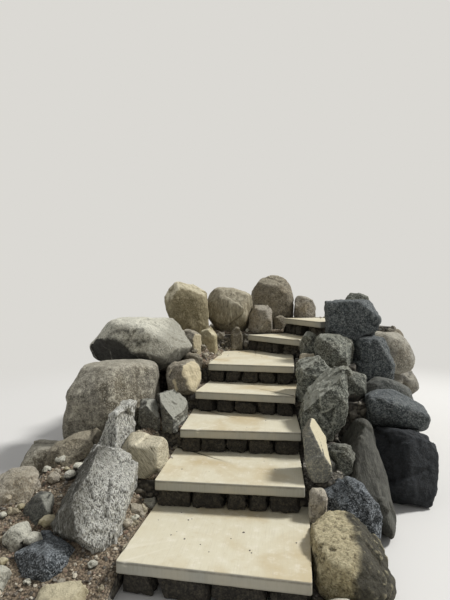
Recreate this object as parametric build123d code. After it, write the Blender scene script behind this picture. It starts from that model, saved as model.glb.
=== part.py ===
"""Garden flight of seven sawn limestone slabs that climbs and turns between banks of granite boulders.

X runs across the flight, to the right of someone who climbs it. Y runs up the flight and Z is up.
The origin is on the ground, under the bottom slab.
"""

from build123d import *
import math
import os
import random

os.makedirs("parts", exist_ok=True)

# Slabs, in millimetres
SLAB = 72  # thickness of a slab
ARRIS = 7  # rounding along a slab's sawn edges
NOSING = 20  # how far a slab stands out past its riser stones
RISER_DEPTH = 125  # riser stones, front to back
LANDING = 560  # depth of the top slab
WINDER_BACK = 1080  # length of the winder's straight left side
WINDER_SIDE_TURN = -25  # how far the second winder's right side is turned from the flight

# Joints
STONE_JOINT = 8  # open joint between two riser stones
RISER_CLEAR = 130  # how far down below a slab the boulders stay clear of its riser stones
LIFT_JOINT = 0.3  # clearance between two lifts of packing in one node
BED = 0.3  # clearance between a boulder and its neighbour
CLUSTER_GAP = 2  # clearance between two stones of one node

# Each slab as laid: its front left corner in plan, the turn of its front edge in degrees,
# the length of that edge, and the rise up to its top
LAID = [
    {"x": -530, "y": -305, "turn": -1.5, "length": 1070, "rise": 200},
    {"x": -502, "y": 306, "turn": 2, "length": 1030, "rise": 195},
    {"x": -461, "y": 850, "turn": 3, "length": 980, "rise": 195},
    {"x": -454, "y": 1390, "turn": -4, "length": 930, "rise": 195},
    {"x": -416, "y": 1850, "turn": -4, "length": 890, "rise": 195},
    {"x": -120, "y": 3090, "turn": -45, "length": 930, "rise": 205},
    {"x": 350, "y": 3385, "turn": -66, "length": 1040, "rise": 210},
]

# Rubble packing under the slabs and the inner boulders
PACK_LEFT = [530, 830, 760, 760, 1050]  # how far each lift reaches left of the middle line
PACK_RIGHT = [540, 800, 800, 1100, 1100]  # and right of it
BANK_LEFT = 1300  # reach of the upper bank, left of the middle line
BANK_BACK = 4300  # reach of the upper bank, up the flight
BANK_RIGHT = 1100  # reach of the upper bank's back edge, right of the middle line
TOP_PACK = 800  # packing behind the top riser, front to back

# Mound of packing under the boulders at the left foot: its edges in plan, then the level at which
# each of its sloping faces starts and how fast that face rises
MOUND_FRONT = -540
MOUND_LEFT = -1720
MOUND_RIGHT = -532
MOUND_STEP = 425  # behind this the mound keeps left of the second lift
MOUND_STEP_RIGHT = -835
MOUND_BACK = 800
MOUND_HIGH = 600  # above every sloping face
FRONT_FALL = (0, 0.31)
LEFT_FALL = (0, 0.7)
RIGHT_FALL = (160, 0.54)

# Courses of boulders that face the packing
BASE_COURSES = [460, 400, 380]  # heights of the courses that carry the banks
SIDE_COURSES = [500, 460]  # and of those under the left bank's overhanging boulder
BASE_THICK = 420  # how thick a course is
CORNER_LAP = 120  # how far a course runs on past the bank's left end and its right one
BACK_LAP = 200  # how far the back courses run on to the left
LEFT_RUN = 1820  # length of the courses on the bank's left end
SIDE_START = 2560  # where the courses under the overhanging boulder start, up the flight
SIDE_RUN = 900  # and how long they are
RIGHT_START = 0.4  # where the courses right of the landing start, as a share of its depth


class Slab:
    """Plan and levels of one slab; u runs along its front edge and v back from it."""

    def __init__(self, x, y, turn, length, top):
        self.corner = Vector(x, y)
        self.along = Vector(1, 0).rotate(Axis.Z, turn)
        self.back = Vector(0, 1).rotate(Axis.Z, turn)
        self.length = length
        self.turn = turn
        self.top = top
        self.seat = top - SLAB

    def at(self, u, v):
        return self.corner + self.along * u + self.back * v

    def wall(self, u):
        """A point on the back face of the riser stones, where the packing starts."""
        return self.at(u, NOSING + RISER_DEPTH)


def lay_flight():
    slabs = []
    top = 0
    for laid in LAID:
        top += laid["rise"]
        slabs.append(Slab(laid["x"], laid["y"], laid["turn"], laid["length"], top))
    return slabs


slabs = lay_flight()
UPPER_BANK = slabs[5].top  # the bank beside the turn is level with the sixth slab
GROUND = 0


def meet(point, direction, slab):
    """Where a line in plan meets the back face of a slab's riser stones."""
    start = slab.wall(0)
    across = direction.cross(slab.along).Z
    step = (start - point).cross(slab.along).Z / across
    return point + direction * step


def prism(corners, low, high):
    """Upright block on a convex outline in plan."""
    outline = [(corner.X, corner.Y) for corner in corners]
    face = make_face(Polyline(*outline, close=True))
    return Pos(0, 0, low) * extrude(face, high - low)


class Obstacle:
    """A convex upright block, its top cut by falls, that boulders are cut back to."""

    def __init__(self, corners, low, high, falls=()):
        middle = sum(corners, Vector()) * (1 / len(corners))
        up = Vector(0, 0, 1)
        self.planes = [(Vector(0, 0, high), up), (Vector(0, 0, low), -up), *falls]
        for start, end in zip(corners, corners[1:] + corners[:1]):
            outward = (end - start).cross(up).normalized()
            if outward.dot(start - middle) < 0:
                outward = -outward
            self.planes.append((start, outward))


# Slab outlines


def straight_outline(slab, above):
    """A slab whose sides run square back to the riser above."""
    left = meet(slab.at(0, 0), slab.back, above)
    right = meet(slab.at(slab.length, 0), slab.back, above)
    return [slab.at(0, 0), slab.at(slab.length, 0), right, left]


def winder_outline(slab, above):
    """The wedge that starts the turn, with its left side carried far back."""
    up = Vector(0, 1)
    right = meet(slab.at(slab.length, 0), up, above)
    left_back = slab.at(0, 0) + up * WINDER_BACK
    return [slab.at(0, 0), slab.at(slab.length, 0), right, above.wall(0), left_back]


def turned_outline(slab, above):
    """The second wedge, narrow at its right end."""
    outward = Vector(0, 1).rotate(Axis.Z, WINDER_SIDE_TURN)
    right = meet(slab.at(slab.length, 0), outward, above)
    return [slab.at(0, 0), slab.at(slab.length, 0), right, above.wall(0)]


def landing_outline(slab):
    front = [slab.at(0, 0), slab.at(slab.length, 0)]
    return front + [slab.at(slab.length, LANDING), slab.at(0, LANDING)]


outlines = [straight_outline(slabs[i], slabs[i + 1]) for i in range(4)]
outlines.append(winder_outline(slabs[4], slabs[5]))
outlines.append(turned_outline(slabs[5], slabs[6]))
outlines.append(landing_outline(slabs[6]))


def make_slab(slab, outline):
    body = prism(outline, slab.seat, slab.top)
    long_edges = body.edges().filter_by(GeomType.LINE)
    front_and_sides = [edge for edge in long_edges if abs(edge.tangent_at(0).Z) < 0.5]
    return fillet(front_and_sides, ARRIS)


# Riser stones


def riser_stones(slab, foot, count, start, end, seed):
    """A row of squared stones between start and end along the front edge, standing on foot."""
    chance = random.Random(seed)
    shares = [chance.uniform(0.7, 1.3) for _ in range(count)]
    room = end - start - STONE_JOINT * (count - 1)
    stones = []
    u = start
    for share in shares:
        width = room * share / sum(shares)
        corners = [slab.at(u, NOSING), slab.at(u + width, NOSING)]
        corners += [slab.wall(u + width), slab.wall(u)]
        stone = prism(corners, foot, slab.seat)
        face = stone.faces().sort_by(lambda f: (f.center() - slab.corner).dot(slab.back))[0]
        stones.append(chamfer(face.edges(), chance.uniform(9, 16)))
        u += width + STONE_JOINT
    return stones


# Packing


def cross_line(slab, x):
    """The point of a riser's back face at a given distance across the flight."""
    return meet(Vector(x, 0), Vector(0, 1), slab)


def lift_outlines():
    """Plan of each lift of packing with its top level."""
    lifts = []
    for i in range(4):
        left, right = -PACK_LEFT[i], PACK_RIGHT[i]
        here, above = slabs[i], slabs[i + 1]
        corners = [cross_line(here, left), cross_line(here, right)]
        corners += [cross_line(above, right), cross_line(above, left)]
        lifts.append((corners, here.seat))
    winder, turned, top = slabs[4], slabs[5], slabs[6]
    bank_line = (top.wall(0) - turned.wall(0)).normalized()
    left, right = -PACK_LEFT[4], PACK_RIGHT[4]
    bank_start = turned.wall(0) - bank_line * ((turned.wall(0).X - left) / bank_line.X)
    corners = [cross_line(winder, left), cross_line(winder, right), cross_line(turned, right)]
    lifts.append((corners + [turned.wall(0), bank_start], winder.seat))
    corners = [turned.wall(0), turned.wall(turned.length), top.wall(top.length), top.wall(0)]
    lifts.append((corners, turned.seat))
    back = top.wall(0) + top.along * ((BANK_BACK - top.wall(0).Y) / top.along.Y)
    top_right = top.wall(top.length) + top.back * TOP_PACK
    corners = [back, top.wall(top.length), top_right, Vector(BANK_RIGHT, BANK_BACK)]
    lifts.append((corners, top.seat))
    outer = turned.wall(0) - bank_line * ((turned.wall(0).X + BANK_LEFT) / bank_line.X)
    lifts.append(([outer, top.wall(0), back, Vector(-BANK_LEFT, BANK_BACK)], UPPER_BANK))
    return lifts


lifts = lift_outlines()


def mound_falls():
    """The sloping faces of the mound: a point on each one and its outward direction."""
    front, left, right = FRONT_FALL, LEFT_FALL, RIGHT_FALL
    return [
        (Vector(0, MOUND_FRONT, front[0]), Vector(0, -front[1], 1).normalized()),
        (Vector(MOUND_LEFT, 0, left[0]), Vector(-left[1], 0, 1).normalized()),
        (Vector(MOUND_RIGHT, 0, right[0]), Vector(right[1], 0, 1).normalized()),
    ]


def block(left, right, front, back):
    """Corners of a rectangle in plan."""
    return [Vector(left, front), Vector(right, front), Vector(right, back), Vector(left, back)]


falls = mound_falls()
mounds = [
    block(MOUND_LEFT, MOUND_RIGHT, MOUND_FRONT, MOUND_STEP),
    block(MOUND_LEFT, MOUND_STEP_RIGHT, MOUND_STEP + LIFT_JOINT, MOUND_BACK),
]


def make_mound(corners):
    body = prism(corners, GROUND, MOUND_HIGH)
    for point, outward in falls:
        body = split(body, bisect_by=Plane(origin=point, z_dir=outward), keep=Keep.BOTTOM)
    return body


def ease(corners):
    """Draws an outline in by half a lift joint, so that two lifts of one node stay apart."""
    middle = sum(corners, Vector()) * (1 / len(corners))
    return [corner + (middle - corner).normalized() * LIFT_JOINT for corner in corners]


# Boulders


class Boulder:
    """A rock split from a block by flat faces laid round a rounded form."""

    BURY = 0.18  # share of its height that the rounded form carries on below the seat

    def __init__(
        self, node, at, size, seat=GROUND, turn=0, lean=(0, 0), facets=14, square=2.6, seed=1, splits=()
    ):
        width, depth, height = size
        self.node = node
        full = height * (1 + self.BURY)
        self.half = Vector(width / 2, depth / 2, full / 2)
        self.centre = Vector(at[0], at[1], seat + height - full / 2)
        place = Location(self.centre, (lean[0], lean[1], turn))
        chance = random.Random(seed)
        power = square / (square - 1)
        self.solid = place * Box(width, depth, full)
        for normal in spread(facets, chance):
            reach = (
                abs(self.half.X * normal.X) ** power
                + abs(self.half.Y * normal.Y) ** power
                + abs(self.half.Z * normal.Z) ** power
            ) ** (1 / power)
            reach *= chance.uniform(0.86, 1.0)
            outward = (place * Pos(*normal)).position - self.centre
            self.cut(self.centre + outward * reach, outward)
        for direction, share in splits:
            outward = Vector(*direction).normalized()
            reach = self.reach(self.centre, outward) * share
            self.cut(self.centre + outward * reach, outward)

    def reach(self, point, outward):
        """How far the rock stands out past a plane."""
        return max((Vector(v) - point).dot(outward) for v in self.solid.vertices())

    def cut(self, point, outward):
        if self.reach(point, outward) > 0.01:
            plane = Plane(origin=point, z_dir=outward)
            self.solid = split(self.solid, bisect_by=plane, keep=Keep.BOTTOM)

    def clear(self, obstacle):
        """Cuts the rock back to the face of a block that it stands furthest outside."""
        below = [-self.reach(point, -outward) for point, outward in obstacle.planes]
        if max(below) >= -0.01:
            return
        depth = [(self.centre - point).dot(outward) for point, outward in obstacle.planes]
        point, outward = obstacle.planes[depth.index(max(depth))]
        self.cut(point, -outward)

    def part_from(self, other, gap):
        """Cuts this rock and its neighbour back to one shared plane."""
        apart = other.centre - self.centre
        span = self.half + other.half
        outward = Vector(apart.X / span.X**2, apart.Y / span.Y**2, apart.Z / span.Z**2).normalized()
        mine = self.reach(self.centre, outward)
        theirs = other.reach(other.centre, -outward)
        room = apart.dot(outward)
        if mine + theirs <= room - gap:
            return
        share = room * mine / (mine + theirs)
        middle = self.centre + outward * share
        self.cut(middle - outward * (gap / 2), outward)
        other.cut(middle + outward * (gap / 2), -outward)

    def near(self, other):
        apart = other.centre - self.centre
        span = (self.half + other.half) * 1.3
        return abs(apart.X) < span.X and abs(apart.Y) < span.Y and abs(apart.Z) < span.Z


def spread(count, chance):
    """Directions spread evenly over a sphere, turned by chance."""
    golden = math.pi * (3 - math.sqrt(5))
    start = chance.uniform(0, 2 * math.pi)
    directions = []
    for i in range(count):
        height = 1 - (2 * i + 1) / count
        height += chance.uniform(-0.5, 0.5) / count
        radius = math.sqrt(1 - min(1, abs(height)) ** 2)
        angle = start + golden * i + chance.uniform(-0.25, 0.25)
        directions.append(Vector(radius * math.cos(angle), radius * math.sin(angle), height))
    return directions


LEVEL = [slab.seat for slab in slabs]

boulders = [
    # Left bank, from the foot up
    Boulder(
        "left_foot_boulder", (-860, 150), (660, 740, 640), turn=-12, facets=16, square=2.4, seed=3,
        splits=[
            ((-0.76, -0.32, 0.57), 0.53),
            ((0.42, -0.78, 0.5), 0.78),
            ((-0.6, -0.8, 0.1), 0.86),
            ((0.9, -0.15, 0.4), 0.95),
            ((0.55, -0.15, 0.82), 0.78),
        ],
    ),
    Boulder(
        "left_spike_boulder", (-975, 667), (215, 300, 850), lean=(-8, 17), facets=8, square=6.0, seed=5,
        splits=[((-0.75, -0.2, 0.63), 0.9)],
    ),
    Boulder(
        "left_grained_boulder", (-685, 600), (440, 430, 270), seat=LEVEL[1], turn=8, square=3.2, seed=8
    ),
    Boulder(
        "left_split_boulder", (-620, 1120), (330, 330, 320), seat=LEVEL[2], turn=-20, facets=9, square=3.4,
        seed=12, splits=[((0.62, -0.3, 0.72), 0.5), ((-0.8, -0.55, -0.2), 0.7)],
    ),
    Boulder(
        "left_split_boulder", (-765, 1060), (210, 220, 265), seat=LEVEL[2], turn=10, facets=9, square=3.4,
        seed=13, splits=[((0.75, -0.2, 0.6), 0.5)],
    ),
    Boulder(
        "left_round_boulder", (-610, 1600), (320, 330, 335), seat=LEVEL[3], turn=10, square=2.8, seed=17
    ),
    Boulder(
        "left_great_boulder", (-1115, 1230), (880, 860, 1060), turn=4, facets=16, square=4.2, seed=23,
        splits=[((-0.96, -0.1, 0.27), 0.82), ((0.05, -0.96, 0.28), 0.93)],
    ),
    Boulder(
        "left_overhanging_boulder", (-1150, 1900), (1080, 860, 490), seat=960, turn=-6, facets=14,
        square=3.0, seed=29,
        splits=[
            ((0.1, -0.32, 0.94), 0.84),
            ((-0.3, -0.7, -0.64), 0.66),
            ((0.64, -0.1, 0.76), 0.66),
            ((-0.72, -0.2, 0.66), 0.8),
        ],
    ),
    Boulder(
        "left_low_boulder", (-1215, 640), (520, 440, 590), turn=15, square=3.0, seed=31,
        splits=[((-0.5, -0.1, 0.86), 0.82)],
    ),
    Boulder("left_outer_boulder", (-1440, 250), (420, 480, 440), turn=-20, square=2.8, seed=37),
    Boulder("left_far_boulder", (-1590, 790), (400, 440, 445), turn=12, square=2.8, seed=39),
    Boulder("left_front_boulder", (-1000, -190), (380, 320, 205), turn=-10, square=2.8, seed=157),
    Boulder("left_cream_boulder", (-765, -465), (270, 240, 120), turn=14, square=3.0, seed=163),
    # Head of the flight
    Boulder(
        "head_cream_boulder", (-925, 2990), (560, 520, 705), seat=UPPER_BANK, turn=20, facets=12,
        square=3.4, seed=41,
        splits=[
            ((-0.9, -0.15, -0.4), 0.55),
            ((0.46, -0.1, 0.88), 0.72),
            ((0.1, -0.85, -0.5), 0.76),
            ((-0.66, -0.1, -0.74), 0.66),
        ],
    ),
    Boulder(
        "head_middle_boulder", (-395, 3430), (640, 520, 630), seat=UPPER_BANK, turn=-10, facets=12,
        square=3.2, seed=43,
        splits=[((0.8, -0.2, -0.6), 0.64), ((-0.74, -0.2, -0.66), 0.64), ((0, -0.85, -0.5), 0.78)],
    ),
    Boulder(
        "head_tall_boulder", (160, 3900), (590, 540, 820), seat=UPPER_BANK, turn=15, facets=16,
        square=2.8, seed=47,
    ),
    # Right bank, from the foot up
    Boulder(
        "right_foot_boulder", (765, -10), (440, 640, 320), turn=6, facets=16, square=3.0, seed=53,
        splits=[((0.75, -0.05, 0.66), 0.68)],
    ),
    Boulder("right_speckled_boulder", (810, 450), (500, 440, 450), turn=-18, facets=16, seed=59),
    Boulder(
        "right_long_boulder", (965, 800), (340, 1180, 330), seat=160, turn=4, lean=(36, 0), facets=18,
        square=2.8, seed=61,
    ),
    Boulder(
        "right_shard_boulder", (620, 570), (165, 280, 470), seat=LEVEL[1], lean=(0, -8), facets=8,
        square=3.0, seed=67, splits=[((0.84, -0.2, 0.5), 0.5), ((-0.1, -0.95, 0.3), 0.7)],
    ),
    Boulder(
        "right_leaning_boulder", (705, 1130), (360, 360, 585), seat=LEVEL[2], lean=(0, 10), facets=8,
        square=6.0, seed=71, splits=[((-0.7, -0.15, 0.7), 0.42), ((0.3, -0.9, 0.3), 0.78)],
    ),
    Boulder("right_rear_boulder", (640, 1500), (330, 330, 520), seat=LEVEL[2] + 100, square=2.8, seed=73),
    Boulder("right_dark_boulder", (1325, 1240), (520, 620, 590), turn=8, facets=16, square=3.0, seed=79),
    Boulder(
        "right_oval_boulder", (1330, 1440), (610, 520, 280), seat=545, turn=-8, facets=12, seed=83,
        splits=[((0.45, -0.1, 0.89), 0.56), ((-0.2, -0.75, -0.63), 0.75)],
    ),
    Boulder(
        "right_upper_boulder", (875, 2040), (410, 420, 375), seat=LEVEL[4], turn=-15, facets=11,
        square=3.2, seed=89, splits=[((0.5, -0.5, 0.7), 0.72)],
    ),
    Boulder(
        "right_grey_boulder", (1270, 2230), (470, 460, 400), seat=850, turn=10, facets=10,
        square=5.0, seed=97, splits=[((0.8, -0.3, 0.5), 0.72)],
    ),
    Boulder(
        "right_block_boulder", (1090, 2340), (550, 430, 390), seat=1250, turn=4, facets=9,
        square=6.0, seed=101, splits=[((0.6, -0.35, 0.7), 0.8)],
    ),
]


def small_stones(node, places, seed):
    """Smaller stones of one node: where each is, its seat, width and height."""
    chance = random.Random(seed)
    stones = []
    for x, y, seat, width, height in places:
        depth = width * chance.uniform(0.85, 1.15)
        turn = chance.uniform(-40, 40)
        stone_seed = chance.randrange(1000)
        size = (width, depth, height)
        stone = Boulder(
            node, (x, y), size, seat=seat, turn=turn, facets=12, square=2.5, seed=stone_seed
        )
        stones.append(stone)
    return stones


boulders += small_stones(
    "left_small_stones",
    [
        (-560, 380, LEVEL[0], 110, 100),
        (-605, 215, 150, 110, 115),
        (-720, 2300, LEVEL[4], 280, 390),
        (-540, 2560, LEVEL[4], 200, 410),
        (-820, 2600, LEVEL[4], 300, 380),
        (-600, 1960, LEVEL[4], 220, 160),
        (-1190, 60, GROUND, 220, 370),
        (-1230, -130, 90, 160, 160),
        (-1050, 470, 330, 110, 130),
        (-1330, 380, 230, 130, 130),
        (-1180, -380, GROUND, 130, 150),
    ],
    seed=103,
)
boulders += small_stones(
    "right_small_stones",
    [
        (810, 740, LEVEL[1], 220, 250),
        (610, 350, LEVEL[0], 140, 270),
        (700, 690, LEVEL[1], 150, 160),
        (1010, 1640, LEVEL[3], 270, 260),
        (620, 1930, LEVEL[4], 200, 190),
        (650, 2260, LEVEL[4], 210, 390),
        (700, -420, GROUND, 240, 150),
    ],
    seed=107,
)
boulders += small_stones(
    "head_small_stones",
    [
        (30, 3400, UPPER_BANK, 330, 390),
        (290, 3560, UPPER_BANK, 200, 240),
        (640, 3760, LEVEL[6], 300, 390),
        (1290, 3160, LEVEL[6], 290, 420),
        (-280, 3080, LEVEL[4], 160, 400),
    ],
    seed=109,
)


def revetment(start, end, count, courses, thick, seed):
    """Courses of large boulders against a face of the packing, listed from the ground up."""
    chance = random.Random(seed)
    run = end - start
    outward = run.cross(Vector(0, 0, 1)).normalized()
    turn = math.degrees(math.atan2(run.Y, run.X))
    width = run.length / count
    seat = GROUND
    for number, height in enumerate(courses, 1):
        for i in range(count):
            break_joint = 0.12 if number % 2 else -0.12
            share = (i + 0.5 + chance.uniform(-0.08, 0.08) + break_joint) / count
            at = start + run * share + outward * (thick * chance.uniform(0.28, 0.36))
            size = (width * 1.16, thick * 1.2, height * 1.08)
            name = f"base_course_{number}"
            stone_seed = chance.randrange(1000)
            yield Boulder(name, (at.X, at.Y), size, seat=seat, turn=turn, square=3.4, seed=stone_seed)
        seat += height


back_left = Vector(-BANK_LEFT, BANK_BACK)
top_right, back_right = lifts[6][0][2], lifts[6][0][3]
right_wall = lifts[6][0][1]
left_wall = Vector(-PACK_LEFT[4], SIDE_START)
right_start = right_wall + (top_right - right_wall) * RIGHT_START
faces = [
    (back_left + Vector(0, CORNER_LAP), back_left - Vector(0, LEFT_RUN), 3, BASE_COURSES, BASE_THICK),
    (back_right + Vector(CORNER_LAP, 0), back_left - Vector(BACK_LAP, 0), 4, BASE_COURSES, BASE_THICK),
    (top_right, back_right, 2, BASE_COURSES, BASE_THICK),
    (right_start, top_right, 1, BASE_COURSES, BASE_THICK),
    (left_wall, left_wall - Vector(0, SIDE_RUN), 1, SIDE_COURSES, BASE_THICK * 1.4),
]
for (start, end, count, courses, thick), seed in zip(faces, (113, 127, 131, 137, 139)):
    boulders += revetment(start, end, count, courses, thick, seed)
boulders += [
    Boulder("right_base_boulders", (1370, 1860), (560, 560, 900), square=3.2, seed=149),
    Boulder("right_base_boulders", (1340, 2430), (600, 500, 880), square=3.4, seed=151),
]


# Cut every boulder back to the slabs, the packing and its neighbours

obstacles = [Obstacle(outline, slab.seat, slab.top) for slab, outline in zip(slabs, outlines)]
obstacles += [Obstacle(corners, GROUND, level) for corners, level in lifts]
obstacles += [Obstacle(corners, GROUND, MOUND_HIGH, falls) for corners in mounds]
for slab in slabs:
    riser_row = [slab.at(0, NOSING), slab.at(slab.length, NOSING)]
    riser_row += [slab.wall(slab.length), slab.wall(0)]
    obstacles.append(Obstacle(riser_row, slab.seat - RISER_CLEAR, slab.seat))

for rock in boulders:
    rock.cut(Vector(0, 0, GROUND), Vector(0, 0, -1))
    for obstacle in obstacles:
        rock.clear(obstacle)
for i, rock in enumerate(boulders):
    for other in boulders[i + 1 :]:
        if rock.near(other):
            rock.part_from(other, CLUSTER_GAP if rock.node == other.node else BED)

# Write one file for each node

nodes = {}
for number, (slab, outline) in enumerate(zip(slabs, outlines), 1):
    nodes[f"tread_{number}"] = [make_slab(slab, outline)]
nodes["riser_1"] = riser_stones(slabs[0], GROUND, 4, 0, slabs[0].length, seed=1)
for i in range(1, 5):
    below, slab = slabs[i - 1], slabs[i]
    nodes[f"riser_{i + 1}"] = riser_stones(slab, below.top, 5, 10, slab.length - 10, seed=i + 1)
nodes["riser_6"] = riser_stones(slabs[5], slabs[4].top, 4, 0, 540, seed=6)
nodes["riser_7"] = riser_stones(slabs[6], slabs[5].top, 3, 0, 480, seed=7)
lift_solids = [prism(ease(corners), GROUND, level) for corners, level in lifts]
nodes["packing_lower"] = lift_solids[:4] + [make_mound(corners) for corners in mounds]
nodes["packing_upper"] = lift_solids[4:]
for rock in boulders:
    nodes.setdefault(rock.node, []).append(rock.solid)

for name, solids in nodes.items():
    node = Compound(children=[Solid(s.solid().wrapped) for s in solids])
    export_step(node, f"parts/{name}.step")
print(len(nodes), "nodes", len(boulders), "boulders")
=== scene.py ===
"""Garden flight of sawn limestone slabs between granite boulders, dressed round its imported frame.

X runs across the flight, to a climber's right. Y runs up the flight and Z is up, in metres.
"""

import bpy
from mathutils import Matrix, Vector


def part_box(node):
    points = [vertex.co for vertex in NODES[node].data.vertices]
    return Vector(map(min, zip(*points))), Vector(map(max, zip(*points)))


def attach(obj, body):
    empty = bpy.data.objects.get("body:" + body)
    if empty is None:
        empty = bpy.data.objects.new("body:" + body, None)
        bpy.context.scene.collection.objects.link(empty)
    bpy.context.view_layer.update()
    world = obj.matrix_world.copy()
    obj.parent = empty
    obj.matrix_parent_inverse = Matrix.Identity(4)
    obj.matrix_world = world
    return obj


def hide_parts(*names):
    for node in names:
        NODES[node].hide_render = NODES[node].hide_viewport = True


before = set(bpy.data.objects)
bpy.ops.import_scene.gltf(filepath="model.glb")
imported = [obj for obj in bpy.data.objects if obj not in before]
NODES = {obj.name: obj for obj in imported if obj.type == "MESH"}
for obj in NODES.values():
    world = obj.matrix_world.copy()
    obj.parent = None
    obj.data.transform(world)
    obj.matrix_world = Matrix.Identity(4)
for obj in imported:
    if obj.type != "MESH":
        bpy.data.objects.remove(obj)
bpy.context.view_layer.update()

import math
import random

import bmesh
import bpy
import numpy as np
from mathutils import Vector, noise
from mathutils.bvhtree import BVHTree
from mathutils.geometry import convex_hull_2d, intersect_point_line

bl_info = {
    "name": "Garden Steps",
    "version": (1, 0, 0),
    "blender": (4, 5, 0),
    "location": "3D View > Sidebar > Steps",
    "description": "Dresses a flight of stone slabs between banks of boulders",
    "category": "Object",
}

MM = 0.001
UP = Vector((0, 0, 1))

# The camera that took in the flight: its place, its turn to the left and its focal length
CAMERA_AT = (0.423, -2.57, 1.643)
CAMERA_TURN = 8.5
FOCAL_SHARE = 430 / 600  # focal length as a share of the picture's long side
SENSOR = 36


def srgb(code):
    """Linear colour of an sRGB hex code."""
    parts = [int(code[i : i + 2], 16) / 255 for i in (1, 3, 5)]
    return tuple(p / 12.92 if p <= 0.04045 else ((p + 0.055) / 1.055) ** 2.4 for p in parts) + (1,)


def link(node, links):
    """Gives a node's inputs a value each, another node's output, or a node for its first output."""
    for key, value in links.items():
        if isinstance(value, bpy.types.Node):
            value = value.outputs[0]
        if isinstance(value, bpy.types.NodeSocket):
            node.id_data.links.new(value, node.inputs[key])
        else:
            node.inputs[key].default_value = value
    return node


def add(tree, kind, links=None, **settings):
    """Adds a node with its settings and links."""
    made = tree.nodes.new(kind)
    for name, value in settings.items():
        setattr(made, name, value)
    return link(made, links or {})


# The Mix node's colour sockets come after those of its other types
MIX_A, MIX_B, MIXED = 6, 7, 2


def layered(tree, colour, layers):
    """Lays colours on a first one in turn.

    A layer is its colour, a value, the start and the end between which the value brings the
    layer out, and the largest share of it that is laid on.
    """
    for over, value, start, end, most in layers:
        ramp = {"Value": value, "From Min": start, "From Max": end, "To Min": 0.0, "To Max": most}
        share = add(tree, "ShaderNodeMapRange", ramp, interpolation_type="SMOOTHSTEP")
        under = srgb(colour) if isinstance(colour, str) else colour
        links = {0: share, MIX_A: under, MIX_B: srgb(over)}
        colour = add(tree, "ShaderNodeMix", links, data_type="RGBA").outputs[MIXED]
    return colour


def overlap(tree, first, second):
    """Share to which two values have both come into their bands; a band is a value, start and end."""
    shares = []
    for value, start, end in (first, second):
        ramp = {"Value": value, "From Min": start, "From Max": end}
        shares.append(add(tree, "ShaderNodeMapRange", ramp, interpolation_type="SMOOTHSTEP"))
    return add(tree, "ShaderNodeMath", {0: shares[0], 1: shares[1]}, operation="MULTIPLY")


# Materials


def blank_material(name):
    made = bpy.data.materials.new(name)
    made.use_nodes = True
    tree = made.node_tree
    return made, tree, tree.nodes["Principled BSDF"]


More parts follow.
